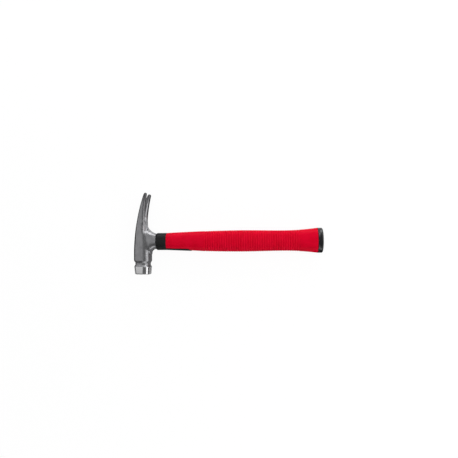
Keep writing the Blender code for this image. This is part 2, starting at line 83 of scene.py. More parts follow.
# %% [markdown]
# The camera looks straight down, as over a table. Its place and lens come from the picture: one pixel is
# 1.608 mm in the hammer's middle plane, 550 mm below the lens, and the point under the lens is not the middle
# of the frame, so the frame is shifted. A small roll lifts the butt a little, as in the picture.

# %% Camera
IMAGE_SIDE = 458
PIXEL_UNDER_LENS = (254.0, 238.0)
METRES_PER_PIXEL = 0.001608
LENS_HEIGHT = 0.550
LENS_PLACE = (0.04005, -0.0079)
CAMERA_ROLL = math.radians(-0.48)
SENSOR = 36.0

camera_data = bpy.data.cameras.new("overhead_camera")
camera_data.sensor_width = SENSOR
camera_data.lens = SENSOR / IMAGE_SIDE * LENS_HEIGHT / METRES_PER_PIXEL
camera_data.shift_x = (IMAGE_SIDE / 2 - PIXEL_UNDER_LENS[0]) / IMAGE_SIDE
camera_data.shift_y = (PIXEL_UNDER_LENS[1] - IMAGE_SIDE / 2) / IMAGE_SIDE
camera = bpy.data.objects.new("overhead_camera", camera_data)
camera.location = (*LENS_PLACE, ORIGIN[2] + LENS_HEIGHT)
camera.rotation_euler = (0.0, 0.0, CAMERA_ROLL)
bpy.context.scene.collection.objects.link(camera)
bpy.context.scene.camera = camera
bpy.context.scene.view_settings.view_transform = "Standard"

print("lens", round(camera_data.lens, 2), "mm")

# %% [markdown]
# The lamps are those of a soft studio: a long strip softbox beyond the butt, a strong low one beyond the
# claw, which the neck's bevels mirror, and a fill before the striking face. Spot lamps could light the hammer
# too, but steel would mirror them as points, and the highlights in the picture are broad.

# %% Softboxes
def add_softbox(name, place, size, radiance):
    """An area lamp turned to the origin. Its power is pi times its area times the radiance it shows."""
    lamp = bpy.data.lights.new(name, "AREA")
    lamp.shape = "RECTANGLE"
    lamp.size, lamp.size_y = size
    lamp.energy = math.pi * size[0] * size[1] * radiance
    box = bpy.data.objects.new(name, lamp)
    box.location = place
    box.rotation_euler = box.location.to_track_quat("Z", "Y").to_euler()
    box.visible_camera = False
    bpy.context.scene.collection.objects.link(box)
    print(name, "at", place, "radiance", radiance)


add_softbox("strip_beyond_butt", place=(0.95, 0.17, 0.74), size=(2.8, 0.62), radiance=1.45)
add_softbox("softbox_beyond_claw", place=(-0.05, 1.20, 0.36), size=(1.3, 0.66), radiance=3.5)
add_softbox("fill_before_face", place=(0.3, -1.20, 0.46), size=(1.8, 0.50), radiance=1.7)

# %% [markdown]
# Round the lamps stands a pale tent. It is open where the camera and its stand are, and steel mirrors that
# opening as dark bands, so the world is dark there too: beside the zenith and towards the near side. The
# world could be one flat colour, but steel in a flat world looks like grey paint, because a metal's look is
# what it mirrors.

# %% Helpers for nodes
def add_node(tree, kind, sockets=None, **settings):
    """A node with its settings made; a socket takes a plain value, or another node's output to link."""
    made = tree.nodes.new(kind)
    for name, value in settings.items():
        setattr(made, name, value)
    for name, value in (sockets or {}).items():
        if isinstance(value, bpy.types.NodeSocket):
            tree.links.new(value, made.inputs[name])
        else:
            made.inputs[name].default_value = value
    return made


def math_node(tree, operation, *values):
    """The output of a Math node; its sockets are given by number because they share one name."""
    return add_node(tree, "ShaderNodeMath", dict(enumerate(values)), operation=operation).outputs[0]


def spread(tree, value, low, high, to_low, to_high):
    """A value carried from one range to another, smoothly at both ends and held outside."""
    sockets = {"Value": value, "From Min": low, "From Max": high, "To Min": to_low, "To Max": to_high}
    return add_node(tree, "ShaderNodeMapRange", sockets, interpolation_type="SMOOTHSTEP").outputs["Result"]


# %% World
WHITE = (1.0, 1.0, 1.0, 1.0)
TENT_LEVEL = 0.80
HEAD_SIDE_PART = 1.05       # the tent on the head's side, as a part of its level
OPENING_LEVEL = 0.12
OPENING_START = -0.01
OPENING_END = 0.54
OPENING_SOFTNESS = 0.18
NEAR_SIDE_LEVEL = 0.12
NEAR_SIDE_START = -0.13
NEAR_SIDE_END = -0.42
LEAST_RISE = 0.02           # keeps the slopes below finite at the horizon

world = bpy.data.worlds.new("studio_tent")
world.use_nodes = True
bpy.context.scene.world = world
tent = world.node_tree
direction = add_node(tent, "ShaderNodeTexCoord").outputs["Generated"]
axes = add_node(tent, "ShaderNodeSeparateXYZ", {0: direction}).outputs
height = math_node(tent, "MAXIMUM", axes["Z"], LEAST_RISE)
along = math_node(tent, "DIVIDE", axes["X"], height)
across = math_node(tent, "DIVIDE", axes["Y"], height)
before = spread(tent, along, OPENING_START - OPENING_SOFTNESS, OPENING_START, HEAD_SIDE_PART, 0.0)
behind = spread(tent, along, OPENING_END, OPENING_END + OPENING_SOFTNESS, 0.0, 1.0)
closed = math_node(tent, "ADD", before, behind)
pale = spread(tent, across, NEAR_SIDE_END, NEAR_SIDE_START, NEAR_SIDE_LEVEL, TENT_LEVEL)
over_opening = math_node(tent, "MULTIPLY", closed, math_node(tent, "SUBTRACT", pale, OPENING_LEVEL))
level = math_node(tent, "ADD", over_opening, OPENING_LEVEL)
tent.links.new(level, tent.nodes["Background"].inputs["Strength"])
tent.nodes["Background"].inputs["Color"].default_value = WHITE

print("world: tent", TENT_LEVEL, "opening", OPENING_LEVEL)

# %% [markdown]
# The floor is a sheet of pale paper that curves up into a wall all round, so that no edge shows from any
# side. A flat plane would do for the picture, but not for the low views. It is a profile turned about the
# middle, on a grid whose quads come from a helper that the pieces use as well.

# %% Quads of a grid
def grid_faces(rows, columns, wrap_rows=False, wrap_columns=False):
    """Quads between neighbours of a grid whose points are numbered row by row, wrapped round on request."""
    i = np.arange(rows if wrap_rows else rows - 1)[:, None]
    j = np.arange(columns if wrap_columns else columns - 1)[None, :]
    below, right = (i + 1) % rows, (j + 1) % columns
    corners = (i * columns + j, i * columns + right, below * columns + right, below * columns + j)
    return np.stack(np.broadcast_arrays(*corners), axis=-1).reshape(-1, 4)


# %% Floor and backdrop
INNER_RADIUS = 1.0
FLOOR_RADIUS = 2.6
COVE_RADIUS = 0.8
WALL_TOP = 2.3
COVE_ROWS = 12
COVE_COLUMNS = 96
FLOOR_GAP = 0.0002

cove_turn = np.linspace(0.0, math.pi / 2, COVE_ROWS)
cove_radius = FLOOR_RADIUS + COVE_RADIUS * np.sin(cove_turn)
cove_radius = np.concatenate([[0.0, INNER_RADIUS], cove_radius, [FLOOR_RADIUS + COVE_RADIUS]])
cove_height = np.concatenate([[0.0, 0.0], COVE_RADIUS * (1 - np.cos(cove_turn)), [WALL_TOP]])
cove_angle = np.linspace(0.0, 2 * math.pi, COVE_COLUMNS, endpoint=False)
cove_points = np.stack(np.broadcast_arrays(
    cove_radius[:, None] * np.cos(cove_angle),
    cove_radius[:, None] * np.sin(cove_angle),
    cove_height[:, None],
), axis=-1)
cove_faces = grid_faces(len(cove_radius), COVE_COLUMNS, wrap_columns=True)[:, ::-1]
floor_mesh = bpy.data.meshes.new("floor")
floor_mesh.from_pydata(cove_points.reshape(-1, 3).tolist(), [], cove_faces.tolist())
floor_mesh.shade_smooth()
floor = bpy.data.objects.new("floor", floor_mesh)
floor.location.z = CAD_BOX[0].z - FLOOR_GAP
bpy.context.scene.collection.objects.link(floor)

print("floor of radius", FLOOR_RADIUS, "m with a wall", WALL_TOP, "m high")

# %% [markdown]
# The picture's background is paper white with hardly any shadow. More light would bleach the hammer as well,
# so for rays from the camera most of the white is the paper's own, and the rest takes the light and the
# hammer's shadow.

# %% Paper
PAPER = (0.66, 0.66, 0.66, 1.0)
OWN_WHITE = 1.06
OWN_WHITE_SEEN = 0.90
OWN_WHITE_MIRRORED = 0.05


def glow(tree, strength):
    """The output of a white Emission shader."""
    return add_node(tree, "ShaderNodeEmission", {"Color": WHITE, "Strength": strength}).outputs[0]


def shader_mix(tree, factor, first, second):
    """A shader between two, by a factor; two of the sockets share one name, so they go by number."""
    return add_node(tree, "ShaderNodeMixShader", {0: factor, 1: first, 2: second}).outputs[0]


paper = bpy.data.materials.new("floor_paper")
paper.use_nodes = True
sheet = paper.node_tree
sheet.nodes.remove(sheet.nodes["Principled BSDF"])
rays = add_node(sheet, "ShaderNodeLightPath").outputs
mirrored = math_node(sheet, "MAXIMUM", rays["Is Glossy Ray"], rays["Is Transmission Ray"])
own_seen = math_node(sheet, "MULTIPLY", rays["Is Camera Ray"], OWN_WHITE_SEEN)
own_mirrored = math_node(sheet, "MULTIPLY", mirrored, OWN_WHITE_MIRRORED)
lit = add_node(sheet, "ShaderNodeBsdfDiffuse", {"Color": PAPER}).outputs[0]
white_sheet = shader_mix(sheet, math_node(sheet, "ADD", own_seen, own_mirrored), lit, glow(sheet, OWN_WHITE))
floor_mesh.materials.append(paper)

print("paper shows the camera", OWN_WHITE_SEEN, "of its own white")

# %% [markdown]
# What steel mirrors of the table is less even, as the dark rims of the head in the picture show. So, for
# mirrored rays alone, light and shade are painted on the paper: a painted pool of light behind the head,
# painted shade on the paper beside the claw, and a painted white card, a strip of paper that glows in the
# corner between claw and handle. Real cards and screens could be built for this, but ramps on the paper's own
# coordinates give the same rims and leave the floor that the camera sees plain.

# %% Painted light on the paper, as steel mirrors it
# painted light on the paper, seen only in mirrored rays: a pool of light, shade round it and by the claw, and a
# glowing strip
PAINTED_POOL_CENTRE = (-0.26, 0.02, 0.0)
PAINTED_DARK_FROM = 0.10
PAINTED_DARK_AT = 0.36
PAINTED_DARK_PART = 0.85
PAINTED_CARD_EDGE = 0.008
PAINTED_CARD_START = (-0.130, 0.018)
PAINTED_CARD_SLOPE = 1.1
PAINTED_CARD_GLOW = 0.98
PAINTED_SHADE_WIDTH = 0.020
PAINTED_SHADE_PART = 0.85

paper_place = add_node(sheet, "ShaderNodeTexCoord").outputs["Object"]
paper_axes = add_node(sheet, "ShaderNodeSeparateXYZ", {0: paper_place}).outputs
from_painted_pool = add_node(sheet, "ShaderNodeVectorMath", {0: paper_place, 1: PAINTED_POOL_CENTRE}, operation="DISTANCE")
# painted shade: the mirrored paper darkens with distance from the painted pool of light
painted_dark_far_off = spread(sheet, from_painted_pool.outputs["Value"], PAINTED_DARK_FROM, PAINTED_DARK_AT, 0.0, PAINTED_DARK_PART)
painted_card_offset = PAINTED_CARD_START[1] - PAINTED_CARD_SLOPE * PAINTED_CARD_START[0]
painted_card_line = math_node(sheet, "MULTIPLY_ADD", paper_axes["X"], PAINTED_CARD_SLOPE, painted_card_offset)
above_line = math_node(sheet, "SUBTRACT", paper_axes["Y"], painted_card_line)
# painted shade on the paper beyond a slanting line by the claw, for mirrored rays
painted_claw_shade = spread(sheet, above_line, 0.0, PAINTED_SHADE_WIDTH, 0.0, PAINTED_SHADE_PART)
painted_dimming = math_node(sheet, "MULTIPLY", math_node(sheet, "MAXIMUM", painted_dark_far_off, painted_claw_shade), mirrored)
painted_dimmed = shader_mix(sheet, painted_dimming, white_sheet, glow(sheet, 0.0))
# painted reflection: a strip of paper beyond the neck glows white for mirrored rays, as a white card there
# would
beyond_neck = spread(sheet, paper_axes["Y"], 0.0, PAINTED_CARD_EDGE, 0.0, 1.0)
below_line = spread(sheet, above_line, -PAINTED_CARD_EDGE, PAINTED_CARD_EDGE, 1.0, 0.0)
on_painted_card = math_node(sheet, "MULTIPLY", math_node(sheet, "MULTIPLY", beyond_neck, below_line), mirrored)
shown = shader_mix(sheet, on_painted_card, painted_dimmed, glow(sheet, PAINTED_CARD_GLOW))
sheet.links.new(shown, sheet.nodes["Material Output"].inputs["Surface"])

# the painted pool of light and the glow of the painted card
print("pool of light round", PAINTED_POOL_CENTRE, "and a card of white", PAINTED_CARD_GLOW)

# %% [markdown]
# One helper finishes all pieces. It welds the points that lie on each other, which closes seams and poles,
# points the faces outwards, and hands the piece to the frame: the piece rides on the only body and stands for
# its solid. Two short formulas, a smooth step and a straight blend, serve all shapes.

# %% Helper for pieces
WELD_DISTANCE = 2e-6


def add_piece(name, node, points, faces, attributes=None):
    """A welded, smooth, outward-facing mesh from points in the hammer's frame, riding on the frame's body."""
    mesh = bpy.data.meshes.new(name)
    mesh.from_pydata((points.reshape(-1, 3) + ORIGIN).tolist(), [], faces.tolist())
    for label, values in (attributes or {}).items():
        mesh.attributes.new(label, "FLOAT", "POINT").data.foreach_set("value", values.astype(np.float32))
    work = bmesh.new()
    work.from_mesh(mesh)
    bmesh.ops.remove_doubles(work, verts=work.verts, dist=WELD_DISTANCE)
    bmesh.ops.recalc_face_normals(work, faces=work.faces)
    loose = sum(not edge.is_manifold for edge in work.edges)
    work.to_mesh(mesh)
    work.free()
    mesh.shade_smooth()
    piece = bpy.data.objects.new(name, mesh)
    bpy.context.scene.collection.objects.link(piece)
    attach(piece, "root")
    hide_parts(node)
    print(name, "has", len(mesh.vertices), "points and", len(mesh.polygons), "faces; open edges:", loose)
    return piece


# %% Helpers for shapes
def ease(value):
    """Smooth step: the value held between 0 and 1, squared, times three less twice itself."""
    value = np.clip(value, 0.0, 1.0)
    return value * value * (3 - 2 * value)


def between(first, last, blend):
    """Straight blend from the first value to the last."""
    return first + blend * (last - first)


# %% [markdown]
# The head is one forging: a bar from the striking face to the claw, with a neck that flares out of it. Lofted
# grids could make the bar and the neck, but not the smooth fillets between them, the sloping nail slot and
# the eye. So the head is a field: a function that is negative inside the steel and positive outside, near
# the surface about the distance to it. Fields join with a minimum and cut with a maximum, and soft versions
# of both leave the fillets and worn edges of a forging.

# %% Soft joining and cutting of fields
def soft_max(first, second, radius):
    """The larger field, raised where both are alike by a parabola: the square of the overlap over 4 radii."""
    overlap = np.maximum(radius - np.abs(first - second), 0.0)
    return np.maximum(first, second) + overlap * overlap / (4 * radius)


def soft_min(first, second, radius):
    """The smaller field, lowered in the same way: a fillet where two forms join."""
    return -soft_max(-first, -second, radius)


# %% Section of the bar
BODY_WIDTH = 0.0246
BODY_HALF_DEPTH = 0.01225
NOSE_LENGTH = 0.0112
OUTER_ARC_RADIUS = 0.285
OUTER_ARC_START = -0.022
CLAW_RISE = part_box("hammer_head")[1].y - ORIGIN[1]
CLAW_ROOT_Y = 0.0340
CLAW_ROOT_THICKNESS = 0.0105
CLAW_TIP_THICKNESS = 0.0040
CLAW_ROOT_HALF_DEPTH = 0.0118
CLAW_BEVEL_ROOT = 0.0026
CLAW_BEVEL_TIP = 0.0030
CLAW_POINT = 0.0035         # the tips get blunt over this length
NECK_HALF_HEIGHT = 0.0117


def outer_x(y):
    """The head's outer side: straight by the poll, then an arc towards the handle."""
    rise = np.maximum(y - OUTER_ARC_START, 0.0)
    return OUTER_ARC_RADIUS - np.sqrt(OUTER_ARC_RADIUS ** 2 - rise ** 2)


def bar_thickness(y):
    """The body's width, straight from the neck's underside to the claw's root, then on to the tips."""
    heights = (-NECK_HALF_HEIGHT, CLAW_ROOT_Y, CLAW_RISE)
    return np.interp(y, heights, (BODY_WIDTH, CLAW_ROOT_THICKNESS, CLAW_TIP_THICKNESS))


def bar_half_depth(y):
    """Half the bar's size across the head: eased in to the claw's root, then straight out to the tips."""
    body = between(BODY_HALF_DEPTH, CLAW_ROOT_HALF_DEPTH, ease(y / CLAW_ROOT_Y))
    spread_out = (y - CLAW_ROOT_Y) / (CLAW_RISE - CLAW_POINT - CLAW_ROOT_Y)
    claw = between(CLAW_ROOT_HALF_DEPTH, LYING_HALF_DEPTH, np.minimum(spread_out, 1.0))
    return np.where(y < CLAW_ROOT_Y, body, claw)


def nose_reach(y):
    """Length of the handle side's rounding, so that the flat cheek's edge runs straight from body to claw."""
    at_claw = outer_x(CLAW_ROOT_Y) + CLAW_ROOT_THICKNESS - CLAW_BEVEL_ROOT
    cheek_edge = between(BODY_WIDTH - NOSE_LENGTH, at_claw, np.maximum(y / CLAW_ROOT_Y, 0.0))
    claw = between(CLAW_BEVEL_ROOT, CLAW_BEVEL_TIP, (y - CLAW_ROOT_Y) / (CLAW_RISE - CLAW_ROOT_Y))
    return np.where(y < CLAW_ROOT_Y, outer_x(y) + bar_thickness(y) - cheek_edge, claw)


print("claw tips at y =", round(CLAW_RISE, 4))

# %% [markdown]
# Below the body the bar is drawn in to a waist and widens again to the poll, which is the hammer's working
# end. Its face leans a little, lowest on the handle's side, so the waist and the poll are measured along that
# lean. A turned profile would make them round, but this poll has the bar's own flat sides, so one inset,
# taken off all sides, does for both.

# %% Waist, poll and striking face
FACE_DROP = ORIGIN[1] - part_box("hammer_head")[0].y
FACE_LEAN = math.radians(3)
SHOULDER_Y = -0.0310
WAIST_INSET = 0.0016
WAIST_UPPER_SLOPE = 0.0034
WAIST_LOWER_SLOPE = 0.0028
WAIST_LENGTH = 0.0030
WAIST_SOFTNESS = 0.00035
WAIST_SAMPLES = 5
POLL_INSET = 0.0003
POLL_TAPER = 0.0008
FACE_CHAMFER = 0.0006
POLL_FACE_INSET = POLL_INSET + POLL_TAPER + FACE_CHAMFER
WAIST_TOP = SHOULDER_Y - WAIST_UPPER_SLOPE
WAIST_BOTTOM = WAIST_TOP - WAIST_LENGTH
POLL_TOP = WAIST_BOTTOM - WAIST_LOWER_SLOPE
POLL_HEIGHTS = (-FACE_DROP, -FACE_DROP + FACE_CHAMFER, POLL_TOP, WAIST_BOTTOM, WAIST_TOP, SHOULDER_Y)
POLL_INSETS = (POLL_FACE_INSET, POLL_INSET + POLL_TAPER, POLL_INSET, WAIST_INSET, WAIST_INSET, 0.0)


def leaning_height(x, y):
    """Height along the poll, whose face and waist lean so that the handle side is the lowest."""
    return y - (BODY_WIDTH - POLL_FACE_INSET - x) * math.tan(FACE_LEAN)


def poll_inset(height):
    """How far the sides are drawn in: straight slopes between heights, averaged over a short stretch."""
    shifts = np.linspace(-WAIST_SOFTNESS, WAIST_SOFTNESS, WAIST_SAMPLES)
    return sum(np.interp(height + shift, POLL_HEIGHTS, POLL_INSETS) for shift in shifts) / len(shifts)


print("poll from", round(POLL_TOP, 4), "to the face at", round(-FACE_DROP, 4))

# %% Limits and corners of the bar
OUTER_CHAMFER = 0.0028
CHAMFER_MOST = 0.40
NOSE_DEPTH = 0.0088
NOSE_POWER = 2.0
CLAW_EDGE = 0.0016
CLAW_BEVEL_DEPTH = 0.0009
CLAW_BEVEL_POWER = 1.3
CLAW_BLUNT = 0.44           # part of the thickness that the very tips keep
CLAW_CORNER = 0.0006
EDGE_SOFTNESS = 0.0004
FACE_SOFTNESS = EDGE_SOFTNESS / 2
SMALLEST = 1e-9             # stands in for a slope of nothing


def bar_limits(x, y):
    """Outer side, handle side and half depth of the section at y, with waist, poll and tips taken in."""
    inset = poll_inset(leaning_height(x, y))
    low = outer_x(y) + inset
    high = outer_x(y) + bar_thickness(y) - inset
    half = bar_half_depth(y) - inset
    tip = np.clip((y - CLAW_RISE + CLAW_POINT) / CLAW_POINT, 0.0, 1.0)
    thin = np.sqrt(1 - (1 - CLAW_BLUNT ** 2) * tip ** 2)
    narrow = 1 - CLAW_CORNER / LYING_HALF_DEPTH * (1 - np.sqrt(1 - tip ** 2))
    middle = (low + high) / 2
    return middle + (low - middle) * thin, middle + (high - middle) * thin, half * narrow


def corner_distance(u, v, a, b, power=2.0):
    """Distance to a quarter superellipse of half sizes a and b, to first order: its level over its slope."""
    level = ((u / a) ** power + (v / b) ** power) ** (1 / power)
    slope = np.hypot((u / a) ** (power - 1) / a, (v / b) ** (power - 1) / b)
    return (level - 1) * level ** (power - 1) / np.maximum(slope, SMALLEST)


# %% [markdown]
# Beside the neck the cheek isn't quite flat: grinding has left a shallow facet that tilts away towards the
# handle. A plane with that tilt cuts it, and the plane is lifted out of the steel at both ends, so that the
# facet runs out.

# %% Facet, and field of the bar
FACET_HEIGHTS = (0.0080, 0.0275)
FACET_EDGES = (0.0138, 0.0126)
FACET_TILT = math.radians(14)
FACET_FADE = 0.0040
FACET_RUNOUT = 0.0120


def facet_field(x, y, z, half):
    """Distance to the tilted plane through a slanting edge on the cheek, less a lift beyond its two ends."""
    tilted = np.abs(z) - half + (x - np.interp(y, FACET_HEIGHTS, FACET_EDGES)) * math.tan(FACET_TILT)
    begun = ease((y - FACET_HEIGHTS[0]) / FACET_FADE)
    window = begun * (1 - ease((y - FACET_HEIGHTS[1]) / FACET_RUNOUT))
    return tilted * math.cos(FACET_TILT) - (1 - window) * FACET_FADE


def bar_field(x, y, z):
    """Faceted cheeks, round handle side, chamfered outer side, striking face and tips, cut by soft maxima."""
    low, high, half = bar_limits(x, y)
    into_claw = ease(y / CLAW_ROOT_Y)
    chamfer = np.minimum(between(OUTER_CHAMFER, CLAW_EDGE, into_claw), CHAMFER_MOST * (high - low))
    length = np.minimum(nose_reach(y), high - low - chamfer)
    depth = between(NOSE_DEPTH, CLAW_BEVEL_DEPTH * length / CLAW_BEVEL_TIP, into_claw)
    power = between(NOSE_POWER, CLAW_BEVEL_POWER, into_claw)
    u = x - high + length
    v = np.abs(z) - half + depth
    corner = corner_distance(np.maximum(u, 0.0), np.maximum(v, 0.0), length, depth, power)
    sides = np.where((u > 0) & (v > 0), corner, np.maximum(x - high, np.abs(z) - half))
    sides = soft_max(sides, facet_field(x, y, z, half), EDGE_SOFTNESS)
    bevel = (chamfer - (x - low) - (half - np.abs(z))) / math.sqrt(2)
    outer = soft_max(low - x, bevel, EDGE_SOFTNESS)
    field = soft_max(sides, outer, EDGE_SOFTNESS)
    face = (-FACE_DROP - leaning_height(x, y)) * math.cos(FACE_LEAN)
    field = soft_max(field, face, FACE_SOFTNESS)
    return soft_max(field, y - CLAW_RISE, EDGE_SOFTNESS)


print("value of the field in the body's middle:", round(float(bar_field(BODY_WIDTH / 2, 0.0, 0.0)), 4))

# %% [markdown]
# The neck holds the eye, so it is stout: flat sides, a round lower edge and a shoulder above, from which a
# slimmer web runs on into the claw. Arcs give its outline. A superellipse gives flat sides with rounded edges
# in one formula, and planes bevel the upper edges, which are the brightest line on the real neck.

# %% Outline of the neck
NECK_START = 0.0105
NECK_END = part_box("hammer_head")[1].x - ORIGIN[0]
NECK_TOP_RADIUS = 0.0240
NECK_TOP_SLOPE = math.radians(10)
NECK_TOP_TURN = math.radians(40)
NECK_TOP_RUN = math.radians(61)
NECK_RAISE = 0.0005
NECK_ROOT_TOP = 0.0340
NECK_LOW_RADIUS = 0.0090
NECK_LOW_PROUD = 0.0004
NECK_CENTRE_X = NECK_END + NECK_TOP_RADIUS * math.sin(NECK_TOP_SLOPE)
NECK_CENTRE_Y = NECK_HALF_HEIGHT + NECK_RAISE + NECK_TOP_RADIUS * math.cos(NECK_TOP_SLOPE)


def neck_top(x):
    """Upper outline: an arc that turns up from the collar, then a steeper run into the claw."""
    reach = np.minimum(NECK_CENTRE_X - x, NECK_TOP_RADIUS * math.sin(NECK_TOP_TURN))
    run = (NECK_CENTRE_X - x - reach) * math.tan(NECK_TOP_RUN)
    return np.minimum(NECK_CENTRE_Y - np.sqrt(NECK_TOP_RADIUS ** 2 - reach ** 2) + run, NECK_ROOT_TOP)


def neck_bottom(x):
    """Lower outline, as a drop from the axis: an arc into the handle side of the body."""
    centre_x = BODY_WIDTH + NECK_LOW_PROUD + NECK_LOW_RADIUS
    reach = np.clip(centre_x - x, 0.0, NECK_LOW_RADIUS)
    return NECK_HALF_HEIGHT + NECK_LOW_RADIUS - np.sqrt(NECK_LOW_RADIUS ** 2 - reach ** 2)


# %% Neck, web and bevel
NECK_HALF_DEPTH = 0.0112
NECK_SHOULDER_RISE = 0.0071
NECK_SHOULDER = NECK_HALF_HEIGHT + NECK_SHOULDER_RISE
NECK_TOP_POWER = 6.0
NECK_LOW_POWER = 2.2
WEB_HALF_DEPTH = 0.0085
WEB_POWER = 2.2
BEVEL_HEIGHTS = (0.0064, 0.0032)
BEVEL_TILT = math.radians(36)
OUTLINE_SAMPLES = 400

neck_x = np.linspace(NECK_END, NECK_START, OUTLINE_SAMPLES)
SHOULDER_X = float(np.interp(NECK_SHOULDER, neck_top(neck_x), neck_x))


def neck_level(x, y, z):
    """Level of the neck's superellipse, 1 on the surface and less inside: flat sides up to the shoulder."""
    up = np.abs(y) / np.where(y > 0, np.minimum(neck_top(x), NECK_SHOULDER), neck_bottom(x))
    power = np.where(y > 0, NECK_TOP_POWER, NECK_LOW_POWER)
    return (up ** power + (np.abs(z) / NECK_HALF_DEPTH) ** power) ** (1 / power)


def web_level(x, y, z):
    """The same for the slimmer web, which carries the upper outline on into the claw and ends in the neck."""
    in_neck = np.maximum(NECK_SHOULDER + SHOULDER_X - x, NECK_HALF_HEIGHT / 2)
    top = np.where(x < SHOULDER_X, neck_top(x), in_neck)
    up = np.abs(y) / np.where(y > 0, top, NECK_HALF_HEIGHT)
    return (up ** WEB_POWER + (np.abs(z) / WEB_HALF_DEPTH) ** WEB_POWER) ** (1 / WEB_POWER)


def bevel_field(x, y, z):
    """A tilted plane along each upper edge, between flat side and top, reaching less far near the collar."""
    bevel_height = np.interp(x, (SHOULDER_X, NECK_END), BEVEL_HEIGHTS)
    above = y - np.minimum(neck_top(x), NECK_SHOULDER) + bevel_height
    return (np.abs(z) - NECK_HALF_DEPTH) * math.cos(BEVEL_TILT) + above * math.sin(BEVEL_TILT)


print("the neck's shoulder is at x =", round(SHOULDER_X, 4))

# %% Field of the neck
WEB_FILLET = 0.0010
BEVEL_SOFTNESS = 0.0012
LEVEL_STEP = 1e-5
LEAST_LEVEL_SLOPE = 20.0    # a level's slope fades at the axis, where no surface is


def slope_of(field, x, y, z, step):
    """A field's slope along each axis, from differences over a small step."""
    dx = field(x + step, y, z) - field(x - step, y, z)
    dy = field(x, y + step, z) - field(x, y - step, z)
    dz = field(x, y, z + step) - field(x, y, z - step)
    return np.stack([dx, dy, dz], axis=-1) / (2 * step)


def level_distance(level, x, y, z):
    """Distance to the surface where a level is 1, to first order: the level less one, over its slope."""
    slope = np.linalg.norm(slope_of(level, x, y, z, LEVEL_STEP), axis=-1)
    return (level(x, y, z) - 1) / np.maximum(slope, LEAST_LEVEL_SLOPE)


def neck_field(x, y, z):
    """The bevelled neck joined to its web, cut at both ends and where the fillets run out on the bar."""
    neck = soft_max(level_distance(neck_level, x, y, z), bevel_field(x, y, z), BEVEL_SOFTNESS)
    sides = soft_min(neck, level_distance(web_level, x, y, z), WEB_FILLET)
    ends = np.maximum(x - NECK_END, NECK_START - x)
    runout = np.maximum(y - NECK_ROOT_TOP, -NECK_HALF_HEIGHT - NECK_LOW_RADIUS - y)
    return np.maximum(sides, np.maximum(ends, runout))


neck_middle = (NECK_START + NECK_END) / 2
print("value of the field in the neck's middle:", round(float(neck_field(neck_middle, 0.0, 0.0)), 4))

# %% [markdown]
# Two holes go through the steel. The eye is oval and wider at the outer side, so that the cast bond can't
# slip back through it. The nail slot is a V that slopes through the claw. Its edges flare on the handle side
# to grip under a nail's head, and at its root the flare widens into a ramp that guides the nail in. Prisms
# could cut both, but a field also gives the flare and the softened edges.

# %% Field of the eye and of the nail slot
EYE_NECK = (0.0092, 0.0074)
EYE_OUTER = (0.0104, 0.0086)
SLOT_ROOT_Y = 0.0385
SLOT_ROOT_RADIUS = 0.0014
SLOT_TIP_HALF_WIDTH = 0.0079
SLOT_LEAN = math.radians(48)
SLOT_FLARE = math.radians(40)
SLOT_FLARE_DEPTH = 0.0018
SLOT_FLARE_FADE = 0.5
RAMP_DEPTH = 0.0020
RAMP_HOLD = 0.0030
RAMP_LENGTH = 0.0060


def eye_field(x, y, z):
    """A tapered oval hole along the handle's axis, widest at the head's outer side."""
    along = x / NECK_END
    a = between(EYE_OUTER[0], EYE_NECK[0], along)
    b = between(EYE_OUTER[1], EYE_NECK[1], along)
    return corner_distance(np.abs(y), np.abs(z), a, b)


def slot_field(x, y, z):
    """A V with a round end, sheared to slope out towards the handle, and flared there, most at the ramp."""
    root_x = outer_x(SLOT_ROOT_Y) + bar_thickness(SLOT_ROOT_Y) / 2
    tip_x = outer_x(CLAW_RISE) + CLAW_TIP_THICKNESS / 2
    rise = y - SLOT_ROOT_Y + (x - root_x) * math.tan(SLOT_LEAN)
    full = CLAW_RISE - SLOT_ROOT_Y + (tip_x - root_x) * math.tan(SLOT_LEAN)
    spread_angle = math.atan2(SLOT_TIP_HALF_WIDTH - SLOT_ROOT_RADIUS, full)
    below_side = np.maximum(outer_x(y) + bar_thickness(y) - x, 0.0)
    flare_depth = SLOT_FLARE_DEPTH * (1 - SLOT_FLARE_FADE * ease(rise / full))
    flare_depth = flare_depth + RAMP_DEPTH * (1 - ease((rise - RAMP_HOLD) / RAMP_LENGTH))
    radius = SLOT_ROOT_RADIUS + np.maximum(flare_depth - below_side, 0.0) * math.tan(SLOT_FLARE)
    wall = (np.abs(z) - rise * math.tan(spread_angle)) * math.cos(spread_angle) - radius
    root = np.hypot(z, rise) - radius
    return np.where(rise > 0, wall, root * math.cos(SLOT_LEAN))


print("the nail slot starts at y =", SLOT_ROOT_Y, "and is", 2 * SLOT_TIP_HALF_WIDTH, "m wide at the tips")

# %% Field of the whole head
NECK_FILLET = 0.0028
RUNOUT_FILLET = 0.0010
FILLET_HOLD = 0.5           # the fillet keeps its size over this part of the neck's half height
CUT_SOFTNESS = 0.0006


def head_field(x, y, z):
    """The bar joined to the neck by a fillet that fades above and below, less the soft eye and nail slot."""
    fillet = between(NECK_FILLET, RUNOUT_FILLET, ease(np.abs(y) / NECK_HALF_HEIGHT - FILLET_HOLD))
    steel = soft_min(bar_field(x, y, z), neck_field(x, y, z), fillet)
    steel = soft_max(steel, x - NECK_END, FACE_SOFTNESS)
    steel = soft_max(steel, -eye_field(x, y, z), CUT_SOFTNESS)
    return soft_max(steel, -slot_field(x, y, z), CUT_SOFTNESS)


# %% [markdown]
# The field becomes a mesh by the surface-net rule: each cell of a fine lattice that the surface passes
# through gets one point, and each lattice edge that it crosses gets one quad between the four cells round
# that edge. The points then slide along the field's slope onto the surface itself. Metaballs are Blender's
# own fields, but they can't be cut by planes.

# %% Surface net
NEWTON_ROUNDS = 3
NEWTON_STEP = 2e-5


